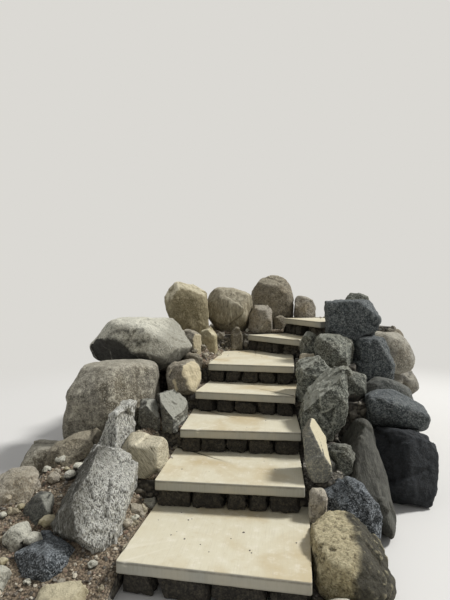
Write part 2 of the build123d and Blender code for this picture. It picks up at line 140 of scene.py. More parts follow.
def limestone(colours):
    """Sawn limestone: a pale, even, matt top with tan clouds, and grey tooled sides whose grey is partly
    painted shade.
    """
    made, tree, shader = blank_material("sawn_cream_limestone")
    place = add(tree, "ShaderNodeTexCoord").outputs["Object"]
    cloud = add(tree, "ShaderNodeTexNoise", {"Vector": place, "Scale": 2.6, "Detail": 5, "Distortion": 0.4})
    fine = add(tree, "ShaderNodeTexNoise", {"Vector": place, "Scale": 16, "Detail": 6, "Roughness": 0.7})
    # Saw lines lie about 6 mm apart and run from front to back
    lengthwise = add(tree, "ShaderNodeMapping", {"Vector": place, "Scale": (170, 5, 5)})
    saw = add(tree, "ShaderNodeTexNoise", {"Vector": lengthwise, "Scale": 1, "Detail": 3})
    # Tooling on the sides stands upright, about 8 mm apart
    upright = add(tree, "ShaderNodeMapping", {"Vector": place, "Scale": (125, 125, 9)})
    tooling = add(tree, "ShaderNodeTexNoise", {"Vector": upright, "Scale": 1, "Detail": 4, "Roughness": 0.6})
    # Shell pits and specks of grit of 4 to 8 mm, a few to a slab
    pit = add(tree, "ShaderNodeTexVoronoi", {"Vector": place, "Scale": 26})
    pick = add(tree, "ShaderNodeSeparateColor", {"Color": pit.outputs["Color"]})
    speck = overlap(tree, (pit.outputs["Distance"], 0.13, 0.07), (pick, 0.955, 0.96))
    top = layered(tree, colours["top"], [
        (colours["cloud"], cloud, 0.44, 0.74, 0.9),
        (colours["pale"], fine, 0.5, 0.72, 0.55),
        (colours["cloud"], fine, 0.46, 0.3, 0.35),
        (colours["streak"], saw, 0.5, 0.7, 0.3),
    ])
    specked = {0: speck, MIX_A: top, MIX_B: srgb(colours["speck"])}
    top = add(tree, "ShaderNodeMix", specked, data_type="RGBA").outputs[MIXED]

    # Darker under the top arris and towards the bottom edge
    drop = add(tree, "ShaderNodeAttribute", attribute_name="drop").outputs["Fac"]
    under_arris = overlap(tree, (drop, 4 * MM, 9 * MM), (drop, 26 * MM, 11 * MM))
    darker_band = add(tree, "ShaderNodeMath", {0: under_arris, 1: fine}, operation="MULTIPLY")
    front = layered(tree, colours["side"], [
        (colours["tool"], tooling, 0.4, 0.7, 0.6),
        (colours["streak"], cloud, 0.4, 0.62, 0.5),
        (colours["darker_band"], darker_band, 0.1, 0.75, 0.8),
        (colours["darker_band"], drop, 58 * MM, 74 * MM, 0.6),
    ])
    # Upright faces take the greyer side colour: tooled stone, and painted shade as well
    normal = add(tree, "ShaderNodeNewGeometry").outputs["Normal"]
    level = add(tree, "ShaderNodeSeparateXYZ", {"Vector": normal}).outputs["Z"]
    steep = {"Value": level, "From Min": 0.85, "From Max": 0.35}
    side = add(tree, "ShaderNodeMapRange", steep, interpolation_type="SMOOTHSTEP")
    colour = add(tree, "ShaderNodeMix", {0: side, MIX_A: top, MIX_B: front}, data_type="RGBA").outputs[MIXED]
    wear = add(tree, "ShaderNodeAttribute", attribute_name="wear").outputs["Fac"]
    colour = layered(tree, colour, [(colours["pale"], wear, 0.1, 1, 0.5)])
    matt = {"Value": fine, "From Min": 0.3, "From Max": 0.7, "To Min": 0.68, "To Max": 0.86}
    roughness = add(tree, "ShaderNodeMapRange", matt, interpolation_type="SMOOTHSTEP")

    grain = add(tree, "ShaderNodeTexNoise", {"Vector": place, "Scale": 260, "Detail": 3, "Roughness": 0.6})
    relief = add(tree, "ShaderNodeMath", {0: grain, 1: saw}, operation="ADD")
    tooled = add(tree, "ShaderNodeMath", {0: tooling, 1: side, 2: relief}, operation="MULTIPLY_ADD")
    sunk = add(tree, "ShaderNodeMath", {0: speck, 1: -2.5, 2: tooled}, operation="MULTIPLY_ADD")
    bump = add(tree, "ShaderNodeBump", {"Height": sunk, "Strength": 0.5, "Distance": 0.8 * MM})
    link(shader, {"Base Color": colour, "Roughness": roughness, "Normal": bump})
    return made


# How far the line between a rock's lit side and its side of painted shade wanders, in metres
SHADE_LINE_WANDER = 0.24


def rock_material(name, look):
    """Rock of mixed crystals, with stained patches, darker hollows, and a paler top that is partly bleached
    and partly painted light.
    """
    made, tree, shader = blank_material(name)
    scales = {part: 1 / (look[part] * MM) for part in ("patch", "mottle", "grit", "grain")}
    place = add(tree, "ShaderNodeTexCoord").outputs["Object"]
    turn = [math.radians(angle) for angle in look["turn"]]
    facing = add(tree, "ShaderNodeMapping", {"Vector": place, "Rotation": turn})
    turned = add(tree, "ShaderNodeMapping", {"Vector": facing, "Scale": look["stretch"]})
    patch = add(tree, "ShaderNodeTexNoise", {"Vector": place, "Scale": scales["patch"], "Detail": 4})
    coarse = {"Vector": turned, "Scale": scales["mottle"], "Detail": 8, "Roughness": 0.72}
    mottle = add(tree, "ShaderNodeTexNoise", coarse)
    fine = {"Vector": turned, "Scale": scales["grit"], "Detail": 3, "Roughness": 0.6}
    grit = add(tree, "ShaderNodeTexNoise", fine)
    crystal = add(tree, "ShaderNodeTexVoronoi", {"Vector": turned, "Scale": scales["grain"]})
    pick = add(tree, "ShaderNodeSeparateColor", {"Color": crystal.outputs["Color"]})
    relief = add(tree, "ShaderNodeAttribute", attribute_name="relief").outputs["Fac"]
    normal = add(tree, "ShaderNodeNewGeometry").outputs["Normal"]
    level = add(tree, "ShaderNodeSeparateXYZ", {"Vector": normal}).outputs["Z"]

    pale, dark = look["pale"], look["dark"]
    mottled, speckle, mica, feldspar = look["mottled"], look["speckle"], look["mica"], 1 - look["feldspar"]
    layers = [
        (look["stain"], patch, 0.44, 0.62, look["stained"]),
        (pale, mottle, 0.5, 0.66, mottled),
        (dark, mottle, 0.5, 0.34, mottled),
        (pale, grit, 0.52, 0.68, speckle),
        (dark, grit, 0.48, 0.32, speckle),
        (dark, pick, mica, mica - 0.02, speckle),
        (pale, pick, feldspar, feldspar + 0.02, speckle),
    ]
    if "top" in look:
        # Faces that look up grow paler: bleaching, and painted light from above as well
        upward = add(tree, "ShaderNodeMath", {0: level, 1: mottle}, operation="MULTIPLY")
        layers.append((look["top"], upward, 0.2, 0.5, look["bleach"]))
    if "under" in look:
        # Faces that look down take the under colour: painted shade
        layers.append((look["under"], level, 0.2, -0.25, 0.95))
    if "split" in look:
        # Faces that look this way are paler: painted light, and on some rocks fresh stone as well
        way, tone, start, end = look["split"]
        toward = add(tree, "ShaderNodeVectorMath", {0: normal, 1: way}, operation="DOT_PRODUCT")
        layers.append((tone, toward.outputs["Value"], start, end, 0.85))
    if "side" in look:
        # One side of the rock takes a darker colour: painted shade, and on the foot boulder partly its old
        # skin as well; the line between them wanders
        across = add(tree, "ShaderNodeSeparateXYZ", {"Vector": place})
        bend = {0: patch, 1: SHADE_LINE_WANDER, 2: across}
        wander = add(tree, "ShaderNodeMath", bend, operation="MULTIPLY_ADD")
        start, end = (edge + SHADE_LINE_WANDER / 2 for edge in look["edge"])
        layers.append((look["side"], wander, start, end, look["skin"]))
    layers += [(look["hollow"], relief, -0.15, -1, 0.75), (pale, relief, 0.2, 1, look["ridge"])]
    colour = layered(tree, look["base"], layers)
    tone = add(tree, "ShaderNodeAttribute", attribute_name="tone").outputs["Fac"]
    lighter = {"Value": tone, "From Min": 0, "From Max": 1, "To Min": 0.78, "To Max": 1.22}
    value = add(tree, "ShaderNodeMapRange", lighter, interpolation_type="SMOOTHSTEP")
    varied = add(tree, "ShaderNodeHueSaturation", {"Color": colour, "Value": value})
    matt = {"Value": mottle, "From Min": 0.3, "From Max": 0.7, "To Min": 0.94, "To Max": 0.76}
    roughness = add(tree, "ShaderNodeMapRange", matt, interpolation_type="SMOOTHSTEP")
    rough = add(tree, "ShaderNodeMath", {0: grit, 1: 0.5, 2: mottle}, operation="MULTIPLY_ADD")
    bump = add(tree, "ShaderNodeBump", {"Height": rough, "Strength": 1.0, "Distance": look["depth"] * MM})
    link(shader, {"Base Color": varied, "Roughness": roughness, "Normal": bump})
    return made


def gravel_material(name, look):
    """Crushed gravel: each stone keeps one of a few dull colours under a patchy crust."""
    shades, pale_crust, dark_crust = look
    made, tree, shader = blank_material(name)
    place = add(tree, "ShaderNodeTexCoord").outputs["Object"]
    tone = add(tree, "ShaderNodeAttribute", attribute_name="tone").outputs["Fac"]
    ramp = add(tree, "ShaderNodeValToRGB", {"Fac": tone})
    ramp.color_ramp.interpolation = "CONSTANT"
    for i, shade in enumerate(shades):
        stops = ramp.color_ramp.elements
        stop = stops[i] if i < 2 else stops.new(i / len(shades))
        stop.position = i / len(shades)
        stop.color = srgb(shade)
    patches = {"Vector": place, "Scale": 1 / (8 * MM), "Detail": 4, "Roughness": 0.7}
    mottle = add(tree, "ShaderNodeTexNoise", patches)
    colour = layered(tree, ramp.outputs[0], [
        (pale_crust, mottle, 0.52, 0.7, 0.4),
        (dark_crust, mottle, 0.46, 0.3, 0.5),
    ])
    bump = add(tree, "ShaderNodeBump", {"Height": mottle, "Strength": 0.5, "Distance": 2 * MM})
    link(shader, {"Base Color": colour, "Roughness": 0.85, "Normal": bump})
    return made


def bed_material(name, look):
    """Packed grit and soil: crowded grains of a few dull colours with dark gaps."""
    grain_size, base, pale, stain, dark = look
    made, tree, shader = blank_material(name)
    place = add(tree, "ShaderNodeTexCoord").outputs["Object"]
    grain = add(tree, "ShaderNodeTexVoronoi", {"Vector": place, "Scale": 1 / (grain_size * MM)})
    pick = add(tree, "ShaderNodeSeparateColor", {"Color": grain.outputs["Color"]})
    patch = add(tree, "ShaderNodeTexNoise", {"Vector": place, "Scale": 6, "Detail": 5})
    mixed = {0: pick, MIX_A: srgb(base), MIX_B: srgb(pale)}
    grains = add(tree, "ShaderNodeMix", mixed, data_type="RGBA").outputs[MIXED]
    gap = grain.outputs["Distance"]
    colour = layered(tree, grains, [(stain, patch, 0.4, 0.65, 0.7), (dark, gap, 0.35, 0.75, 0.8)])
    height = add(tree, "ShaderNodeMath", {0: 1.0, 1: gap}, operation="SUBTRACT")
    bump = add(tree, "ShaderNodeBump", {"Height": height, "Strength": 0.9, "Distance": grain_size * 0.5 * MM})
    link(shader, {"Base Color": colour, "Roughness": 0.92, "Normal": bump})
    return made


# Shares and sizes of a rock's finish that a look leaves as they are
COMMON_LOOK = {
    "turn": (0, 0, 0), "stretch": (1, 1, 1), "patch": 260, "mottle": 45, "grit": 14, "grain": 9,
    "stained": 0.6, "mottled": 0.6, "speckle": 0.4, "mica": 0.2, "feldspar": 0.2, "bleach": 0.45,
    "skin": 0.85, "ridge": 0.4, "depth": 24,
}


def rock_look(base, pale, dark, stain, hollow, **rest):
    """A look from its five colours and whatever differs from the common shares and sizes."""
    colours = {"base": base, "pale": pale, "dark": dark, "stain": stain, "hollow": hollow}
    return {**COMMON_LOOK, **colours, **rest}


# What each rock is, and what that gives the eye. Sizes in millimetres. The crystals are drawn
# about twice their real size, because the real ones are finer than the picture shows.
LOOKS = {
    # Split granite: pale feldspar and black mica in fresh, sharp speckle
    "split_granite": rock_look(
        "#dddbce", "#f7f6ed", "#59574f", "#b8b29f", "#55524a", stretch=(1.7, 1.7, 0.55), mica=0.27,
        feldspar=0.3, speckle=0.78, mottle=30, mottled=0.9, stained=0.4, ridge=0.8, top="#dcdacc",
        bleach=0.3, depth=39, grit=12,
    ),
    # Banded gneiss: fine brown and cream lines through the rock
    "banded_gneiss": rock_look(
        "#cbc3a9", "#e3dbc2", "#6b6049", "#afa389", "#5f5542", grain=7, mottle=30, mottled=0.9,
        turn=(0, -48, 0), stretch=(0.35, 0.6, 2.6), top="#ddd4b8",
    ),
    # Weathered granite: smooth tan skin with pale blotches where it has flaked
    "weathered_granite": rock_look(
        "#837e71", "#c0baa6", "#4f4a3f", "#645b48", "#4a463b", mica=0.16, mottle=70, mottled=0.95,
        patch=330, top="#bfbaa9", depth=21, stained=0.9,
    ),
    # Pale granite, paler on top (bleached, and painted light), its downward faces painted near black brown as
    # shade
    "pale_granite": rock_look(
        "#d0cdbc", "#e4e1d0", "#66645a", "#ada792", "#5d5748", speckle=0.5, mottle=40,
        top="#dcd9c7", bleach=0.65, under="#120e08", mottled=0.8,
    ),
    # Brown granite: field boulders with a warm brown skin
    "brown_granite": rock_look(
        "#7c7463", "#a59c86", "#49443a", "#857962", "#39342a", mottled=0.7, top="#aba38d",
    ),
    # Tan granite with paler skin where it catches the weather
    "tan_granite": rock_look(
        "#a0988a", "#c4bca8", "#5b564b", "#a08f70", "#4a443a", mottle=40, mottled=0.75,
        top="#bdb5a1", depth=27,
    ),
    # The same with its faces that look right and forward painted pale as sunlit
    "scarred_granite": rock_look(
        "#8f887a", "#b5ad9a", "#524d43", "#857862", "#3f3a31", mottle=40, mottled=0.75,
        top="#b0a894", depth=27, split=((0.83, -0.5, 0.25), "#ddcfab", 0.6, 0.85),
    ),
    # Cream quartzite: smooth, warm and nearly free of dark grains
    "cream_quartzite": rock_look(
        "#9f9577", "#c2b897", "#73694f", "#8a7f60", "#6d634d", mica=0.07, speckle=0.25, mottle=85,
        top="#d3caad", depth=18,
    ),
    # The same at the head of the flight, darkened as painted shade, with its faces that look up and to the
    # left painted pale as sunlit
    "earthy_quartzite": rock_look(
        "#8d8367", "#b5ab8b", "#62593f", "#7d7254", "#544b37", mica=0.07, speckle=0.25, mottle=70,
        mottled=0.7, top="#d6cdb0", bleach=0.6, depth=21,
        split=((-0.35, -0.45, 0.82), "#e3dabd", 0.76, 0.93),
    ),
    # Quartzite with brown iron streaks that run down it
    "streaked_quartzite": rock_look(
        "#948c77", "#c0b8a0", "#5e5746", "#786c52", "#554d3e", mica=0.1, speckle=0.25, mottle=60,
        mottled=0.85, stretch=(1.5, 1.5, 0.4), top="#bdb49c", stained=0.75, depth=18, ridge=0.15,
    ),
    # Pitted sandstone: cream where it weathers, its far (right) side painted dark grey brown as shade
    "pitted_sandstone": rock_look(
        "#c4b68f", "#e0d5ad", "#4f452f", "#a5966e", "#3d3524", mica=0.16, mottle=34, mottled=0.9,
        side="#20211e", edge=(0.74, 0.81), top="#c5ba98", bleach=0.35, depth=30, skin=0.9,
    ),
    # Blue grey granite with white feldspar, made darker as painted shade
    "blue_granite": rock_look(
        "#454b4e", "#989da0", "#1c2124", "#504f4a", "#282a2a", mica=0.32, feldspar=0.26,
        speckle=0.85, mottle=28, stained=0.35, top="#7b8183", bleach=0.4, mottled=0.3, grain=8,
        grit=9,
    ),
    # The same granite in larger blocks, duller and with more brown on it, made darker as painted shade
    "dull_granite": rock_look(
        "#4d5354", "#868a87", "#23282b", "#505350", "#222526", mica=0.28, speckle=0.6, mottle=36,
        mottled=0.75, stained=0.5, top="#666b6c", bleach=0.35, depth=30, grain=11,
    ),
    # Dark basalt, dull and close grained, painted near black as the shade it lies in
    "dark_basalt": rock_look(
        "#0f1317", "#262b30", "#0d1013", "#16181a", "#0c0e10", mica=0.25, top="#1b2025",
        bleach=0.35, mottled=0.7,
    ),
    # Split slabs of dark stone; faces that look up and to the right are paler, partly fresh stone and partly
    # painted light
    "flaked_basalt": rock_look(
        "#62625b", "#98978b", "#383935", "#6c675a", "#2c2c28", mica=0.25, mottle=40, mottled=0.9,
        split=((0.62, -0.3, 0.72), "#aeada0", 0.7, 0.98), ridge=0.6, depth=27,
    ),
    # Smooth brown grey schist, worn along its length, made darker as painted shade
    "worn_schist": rock_look(
        "#46463f", "#67655b", "#2b2b27", "#3d3a32", "#1f1e1b", grain=7, speckle=0.3, mottle=60,
        turn=(-36, 0, 0), stretch=(1.2, 0.35, 1.2), top="#4f4e46", bleach=0.3, depth=18,
    ),
    # Greenish granite with pale scars
    "green_granite": rock_look(
        "#64665d", "#b4b5a6", "#383a34", "#6d6857", "#2c2d28", mica=0.24, feldspar=0.24,
        speckle=0.5, mottle=40, mottled=0.75, top="#96968a", ridge=0.95, depth=33,
    ),
    # The same with paler faces that look up and to the left, partly pale stone and partly painted light
    "crested_granite": rock_look(
        "#5f6259", "#b4b5a6", "#353731", "#686352", "#2a2b26", mica=0.24, feldspar=0.24,
        speckle=0.5, mottle=40, mottled=0.8, depth=33, top="#90907f", ridge=0.95,
        split=((-0.62, -0.3, 0.72), "#b9baac", 0.8, 1.0),
    ),
    # Slate grey shard whose faces that look right are cream, partly fresh stone and partly painted light
    "edged_shard": rock_look(
        "#77776f", "#b3ad98", "#55554e", "#847f70", "#3f3e38", grain=8, mottle=60, mottled=0.45,
        ridge=0.5, depth=15, split=((0.84, -0.2, 0.5), "#d6ccab", 0.84, 0.95),
    ),
    # Squared rubble of the risers, dark with soil and with painted shade from the slabs above
    "soiled_rubble": rock_look(
        "#35312a", "#544e41", "#1a1815", "#2e2a22", "#161410", mica=0.25, mottle=36, mottled=0.7,
        ridge=0.25, depth=27,
    ),
    # Grey base rocks under the right bank
    "base_granite": rock_look(
        "#5a5d59", "#84857e", "#363834", "#66614f", "#2a2a27", grain=11, speckle=0.5, mottle=50,
        mottled=0.7, top="#7b7b72", depth=27,
    ),
    # Quarried granite of the courses that carry the banks
    "course_granite": rock_look(
        "#817d73", "#aaa698", "#4b4840", "#7d735e", "#36322b", grain=12, speckle=0.45, mottle=60,
        top="#b0aa98", depth=27,
    ),
}
# The overhanging boulder's right side, towards the steps, is painted greyer as shade
LOOKS["leaning_granite"] = {**LOOKS["pale_granite"], "side": "#7c796c", "edge": (-1.02, -0.8), "skin": 0.6}
# Darker brown on the far (left) side of the foot boulder, partly its old skin and partly painted shade
LOOKS["aged_granite"] = {**LOOKS["split_granite"], "side": "#4d4a3d", "edge": (-0.72, -0.88), "skin": 0.78}

# Loose stone: the colours that turn up among its stones, then its pale and its dark crust
GRAVELS = {
    # Gravel of several quarries, warm and mixed
    "mixed_gravel": (
        ("#7b6c5c", "#8f806d", "#686056", "#a89b86", "#7d7870", "#8a7262", "#524d45", "#bdb5a3"),
        "#c9c1ad", "#4d463b",
    ),
    # Crushed granite, grey and in shade most of the day
    "dark_gravel": (("#5e5a52", "#77726a", "#4a4741", "#8c877d"), "#8d887c", "#2f2c27"),
    # Rubble of the packing's faces, dull with soil
    "wall_rubble": (("#5a564d", "#6b665b", "#4a4741", "#787265"), "#837d70", "#2e2b27"),
    # Washed field cobbles, pale and warm
    "pale_cobble": (("#a39b86", "#b9b19b", "#8b826d", "#9d937c"), "#c6beaa", "#6c6350"),
}

# Packed beds: size of the grains in millimetres, then their base, pale, stain and gap colours
BEDDINGS = {
    # Tan grit with brown soil in it
    "tan_grit": (14, "#716453", "#9b8d77", "#7f6e5a", "#352e24"),
    # Grey grit and soil of the shaded bank
    "dark_grit": (30, "#57534b", "#7c7668", "#4b463d", "#242220"),
    # Rubble rammed in behind the stones
    "packed_rubble": (30, "#57534b", "#7c7668", "#4b463d", "#242220"),
}

FINISHES = {}


def finish(name):
    """The material of a name, made the first time it is asked for."""
    for table, maker in ((LOOKS, rock_material), (GRAVELS, gravel_material), (BEDDINGS, bed_material)):
        if name in table and name not in FINISHES:
            FINISHES[name] = maker(name, table[name])
    return FINISHES[name]


# Node trees for what repeats


def new_tree(name, inputs):
    """Empty Geometry Nodes tree with the given inputs; returns it and the outputs of its input node."""
    tree = bpy.data.node_groups.new(name, "GeometryNodeTree")
    for label, kind in inputs.items():
        tree.interface.new_socket(label, in_out="INPUT", socket_type=f"NodeSocket{kind}")
    tree.interface.new_socket("Geometry", in_out="OUTPUT", socket_type="NodeSocketGeometry")
    return tree, tree.nodes.new("NodeGroupInput").outputs


def end_tree(tree, geometry, material):
    plain = add(tree, "GeometryNodeRealizeInstances", {"Geometry": geometry})
    painted = add(tree, "GeometryNodeSetMaterial", {"Geometry": plain, "Material": material})
    add(tree, "NodeGroupOutput", {0: painted})
    return tree


def facet_field(tree, place, size, tilt):
    """Height of flat splits: each cell of the rock is cut along its own tilted plane."""
    scale = add(tree, "ShaderNodeMath", {0: 1.0, 1: size}, operation="DIVIDE")
    cell = add(tree, "ShaderNodeTexVoronoi", {"Vector": place, "Scale": scale})
    centre, tint = cell.outputs["Position"], cell.outputs["Color"]
    reach = add(tree, "ShaderNodeVectorMath", {0: place, 1: centre}, operation="SUBTRACT")
    lean = add(tree, "ShaderNodeVectorMath", {0: tint, 1: (0.5, 0.5, 0.5)}, operation="SUBTRACT")
    slope = add(tree, "ShaderNodeVectorMath", {0: reach, 1: lean}, operation="DOT_PRODUCT")
    return add(tree, "ShaderNodeMath", {0: slope.outputs["Value"], 1: tilt}, operation="MULTIPLY")


def noise_field(tree, place, size, depth, detail):
    """Height of a noise that swells by depth at most, up and down."""
    scale = add(tree, "ShaderNodeMath", {0: 1.0, 1: size}, operation="DIVIDE")
    links = {"Vector": place, "Scale": scale, "Detail": detail, "Roughness": 0.6}
    made = add(tree, "ShaderNodeTexNoise", links)
    level = add(tree, "ShaderNodeMath", {0: made, 1: 0.5}, operation="SUBTRACT")
    twice = add(tree, "ShaderNodeMath", {0: level, 1: 2.0}, operation="MULTIPLY")
    return add(tree, "ShaderNodeMath", {0: twice, 1: depth}, operation="MULTIPLY")


def smoothed(tree, geometry, times):
    """Geometry whose points are drawn towards their neighbours a number of times."""
    position = add(tree, "GeometryNodeInputPosition")
    even = add(tree, "GeometryNodeBlurAttribute", {0: position, 1: times}, data_type="FLOAT_VECTOR")
    return add(tree, "GeometryNodeSetPosition", {"Geometry": geometry, "Position": even})


def pushed(tree, geometry, height):
    """Geometry whose points are moved outwards by a height."""
    normal = add(tree, "GeometryNodeInputNormal")
    offset = add(tree, "ShaderNodeVectorMath", {0: normal, "Scale": height}, operation="SCALE")
    return add(tree, "GeometryNodeSetPosition", {"Geometry": geometry, "Offset": offset})


# Relief is how far a point stands off its surroundings, over so many rings of faces, in
# shares of 1 / RELIEF_GAIN metres
RELIEF_RINGS = 5
RELIEF_GAIN = 180.0


def weathering_tree():
    """Rounds a plain rock, splits it into facets, roughens it and marks its ridges and hollows."""
    inputs = {
        "Geometry": "Geometry", "Rounding": "Int", "Facet Size": "Float", "Facet Tilt": "Float",
        "Chip Size": "Float", "Chip Tilt": "Float", "Swell": "Float", "Grain": "Float",
        "Grain Size": "Float", "Streak": "Float", "Pits": "Float", "Easing": "Int",
        "Bias": "Float", "Seed": "Float", "Material": "Material",
    }
    tree, given = new_tree("weathered_rock", inputs)
    rounded = smoothed(tree, given["Geometry"], given["Rounding"])
    position = add(tree, "GeometryNodeInputPosition")
    shift = add(tree, "ShaderNodeCombineXYZ", {axis: given["Seed"] for axis in range(3)})
    place = add(tree, "ShaderNodeVectorMath", {0: position, 1: shift}, operation="ADD")
    # The splits wander a little, so that no facet is a perfect plane
    wander = add(tree, "ShaderNodeTexNoise", {"Vector": place, "Scale": 9.0, "Detail": 2}).outputs["Color"]
    bend = add(tree, "ShaderNodeVectorMath", {0: wander, "Scale": 0.022}, operation="SCALE")
    bent = add(tree, "ShaderNodeVectorMath", {0: place, 1: bend}, operation="ADD")
    # Grain may be drawn out upwards into streaks
    drawn = add(tree, "ShaderNodeCombineXYZ", {0: 1.0, 1: 1.0, 2: given["Streak"]})
    streaked = add(tree, "ShaderNodeVectorMath", {0: place, 1: drawn}, operation="MULTIPLY")
    # Slits lie flat and crowd together here and there
    sway = {0: wander, 1: (0.09, 0.09, 0.09), 2: place}
    crooked = add(tree, "ShaderNodeVectorMath", sway, operation="MULTIPLY_ADD")
    flat = add(tree, "ShaderNodeVectorMath", {0: crooked, 1: (0.55, 0.8, 1.5)}, operation="MULTIPLY")
    pit = add(tree, "ShaderNodeTexVoronoi", {"Vector": flat, "Scale": 24.0}).outputs["Distance"]
    crowd = add(tree, "ShaderNodeTexNoise", {"Vector": place, "Scale": 5.0, "Detail": 1})
    slit = overlap(tree, (pit, 0.42, 0.12), (crowd, 0.46, 0.6))
    height = given["Bias"]
    for field in (
        facet_field(tree, bent, given["Facet Size"], given["Facet Tilt"]),
        facet_field(tree, bent, given["Chip Size"], given["Chip Tilt"]),
        noise_field(tree, place, 0.3, given["Swell"], 1.0),
        noise_field(tree, streaked, given["Grain Size"], given["Grain"], 4.0),
        add(tree, "ShaderNodeMath", {0: slit, 1: given["Pits"]}, operation="MULTIPLY"),
    ):
        height = add(tree, "ShaderNodeMath", {0: height, 1: field}, operation="ADD")
    eased = smoothed(tree, pushed(tree, rounded, height), given["Easing"])
    # A point that stands proud of its surroundings is a ridge, and one below them a hollow
    here = add(tree, "GeometryNodeInputPosition")
    around = add(tree, "GeometryNodeBlurAttribute", {0: here, 1: RELIEF_RINGS}, data_type="FLOAT_VECTOR")
    proud = add(tree, "ShaderNodeVectorMath", {0: here, 1: around}, operation="SUBTRACT")
    outward = add(tree, "GeometryNodeInputNormal")
    stand = add(tree, "ShaderNodeVectorMath", {0: proud, 1: outward}, operation="DOT_PRODUCT")
    gained = {0: stand.outputs["Value"], 1: RELIEF_GAIN}
    relief = add(tree, "ShaderNodeMath", gained, operation="MULTIPLY")
    mark = {"Geometry": eased, "Name": "relief", "Value": relief}
    marked = add(tree, "GeometryNodeStoreNamedAttribute", mark)
    return end_tree(tree, add(tree, "GeometryNodeSetShadeSmooth", {"Geometry": marked}), given["Material"])


def scatter_tree():
    """Scatters loose stones over a bed, each turned, sized and chipped by chance."""
    inputs = {
        "Geometry": "Geometry", "Density": "Float", "Smallest": "Float", "Largest": "Float",
        "Lift": "Float", "Detail": "Int", "Seed": "Int", "Material": "Material",
    }
    tree, given = new_tree("loose_stones", inputs)
    spacing = add(tree, "ShaderNodeMath", {0: given["Smallest"], 1: 0.8}, operation="MULTIPLY")
    over = {
        "Mesh": given["Geometry"], "Distance Min": spacing, "Density Max": given["Density"],
        "Seed": given["Seed"],
    }
    points = add(tree, "GeometryNodeDistributePointsOnFaces", over, distribute_method="POISSON")
    later = add(tree, "ShaderNodeMath", {0: given["Seed"], 1: 7.0}, operation="ADD")
    chance = add(tree, "FunctionNodeRandomValue", {"Seed": given["Seed"]}, data_type="FLOAT").outputs[1]
    # Most stones are small
    skew = add(tree, "ShaderNodeMath", {0: chance, 1: 2.2}, operation="POWER")
    sizes = {"Value": skew, "To Min": given["Smallest"], "To Max": given["Largest"]}
    size = add(tree, "ShaderNodeMapRange", sizes)
    shapes = {0: (0.75, 0.75, 0.5), 1: (1.25, 1.1, 0.85), "Seed": later}
    shape = add(tree, "FunctionNodeRandomValue", shapes, data_type="FLOAT_VECTOR")
    scale = add(tree, "ShaderNodeVectorMath", {0: shape, "Scale": size}, operation="SCALE")
    turns = {0: (-0.5, -0.5, 0), 1: (0.5, 0.5, 6.28), "Seed": given["Seed"]}
    turn = add(tree, "FunctionNodeRandomValue", turns, data_type="FLOAT_VECTOR")
    stone = add(tree, "GeometryNodeMeshIcoSphere", {"Radius": 0.5, "Subdivisions": given["Detail"]})
    laying = {"Points": points, "Instance": stone, "Rotation": turn, "Scale": scale}
    laid = add(tree, "GeometryNodeInstanceOnPoints", laying)
    rise = add(tree, "ShaderNodeMath", {0: size, 1: given["Lift"]}, operation="MULTIPLY")
    up = add(tree, "ShaderNodeCombineXYZ", {2: rise})
    made = add(tree, "GeometryNodeTranslateInstances", {0: laid, "Translation": up})
    shade = add(tree, "FunctionNodeRandomValue", {"Seed": later}, data_type="FLOAT").outputs[1]
    for name, value in (("tone", shade), ("size", size)):
        mark = {"Geometry": made, "Name": name, "Value": value}
        made = add(tree, "GeometryNodeStoreNamedAttribute", mark, domain="INSTANCE")
    plain = add(tree, "GeometryNodeRealizeInstances", {"Geometry": made})
    # Lumps on each stone are in keeping with its size
    stored = add(tree, "GeometryNodeInputNamedAttribute", {"Name": "size"}, data_type="FLOAT")
    place = add(tree, "GeometryNodeInputPosition")
    fine = add(tree, "ShaderNodeMath", {0: 1.3, 1: stored}, operation="DIVIDE")
    lumps = {"Vector": place, "Scale": fine, "Detail": 2.0, "Roughness": 0.6}
    lump = add(tree, "ShaderNodeTexNoise", lumps)
    level = add(tree, "ShaderNodeMath", {0: lump, 1: 0.5}, operation="SUBTRACT")
    swell = add(tree, "ShaderNodeMath", {0: level, 1: stored}, operation="MULTIPLY")
    strong = add(tree, "ShaderNodeMath", {0: swell, 1: 1.5}, operation="MULTIPLY")
    return end_tree(tree, pushed(tree, plain, strong), given["Material"])


TREES = {"weathered_rock": weathering_tree, "loose_stones": scatter_tree}


def apply_nodes(obj, name, values):
    """Adds a node tree to an object and sets its inputs by identifier."""
    modifier = obj.modifiers.new(name, "NODES")
    modifier.node_group = bpy.data.node_groups.get(name) or TREES[name]()
    for item in modifier.node_group.interface.items_tree:
        if item.item_type == "SOCKET" and item.in_out == "INPUT" and item.name in values:
            modifier[item.identifier] = values[item.name]


def evaluated_mesh(obj):
    """Plain mesh of an object with its modifiers; the object itself is removed."""
    graph = bpy.context.evaluated_depsgraph_get()
    mesh = bpy.data.meshes.new_from_object(
        obj.evaluated_get(graph), preserve_all_data_layers=True, depsgraph=graph
    )
    before = obj.data
    bpy.data.objects.remove(obj)
    if before.users == 0:
        bpy.data.meshes.remove(before)
    return mesh


def mesh_of(body, name):
    """Turns a bmesh into a mesh and frees it."""
    mesh = bpy.data.meshes.new(name)
    body.to_mesh(mesh)
    body.free()
    return mesh


def place_object(name, mesh):
    obj = bpy.data.objects.new(name, mesh)
    bpy.context.scene.collection.objects.link(obj)
    return obj


def settle(name, mesh, replaced=()):
    """Makes a mesh a finished piece that rides on the one body."""
    obj = place_object(name, mesh)
    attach(obj, "root")
    if replaced:
        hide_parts(*replaced)
    return obj


# Rocks

# A CAD node's loose triangles are joined where their corners are this close, in metres
WELD = 1e-5


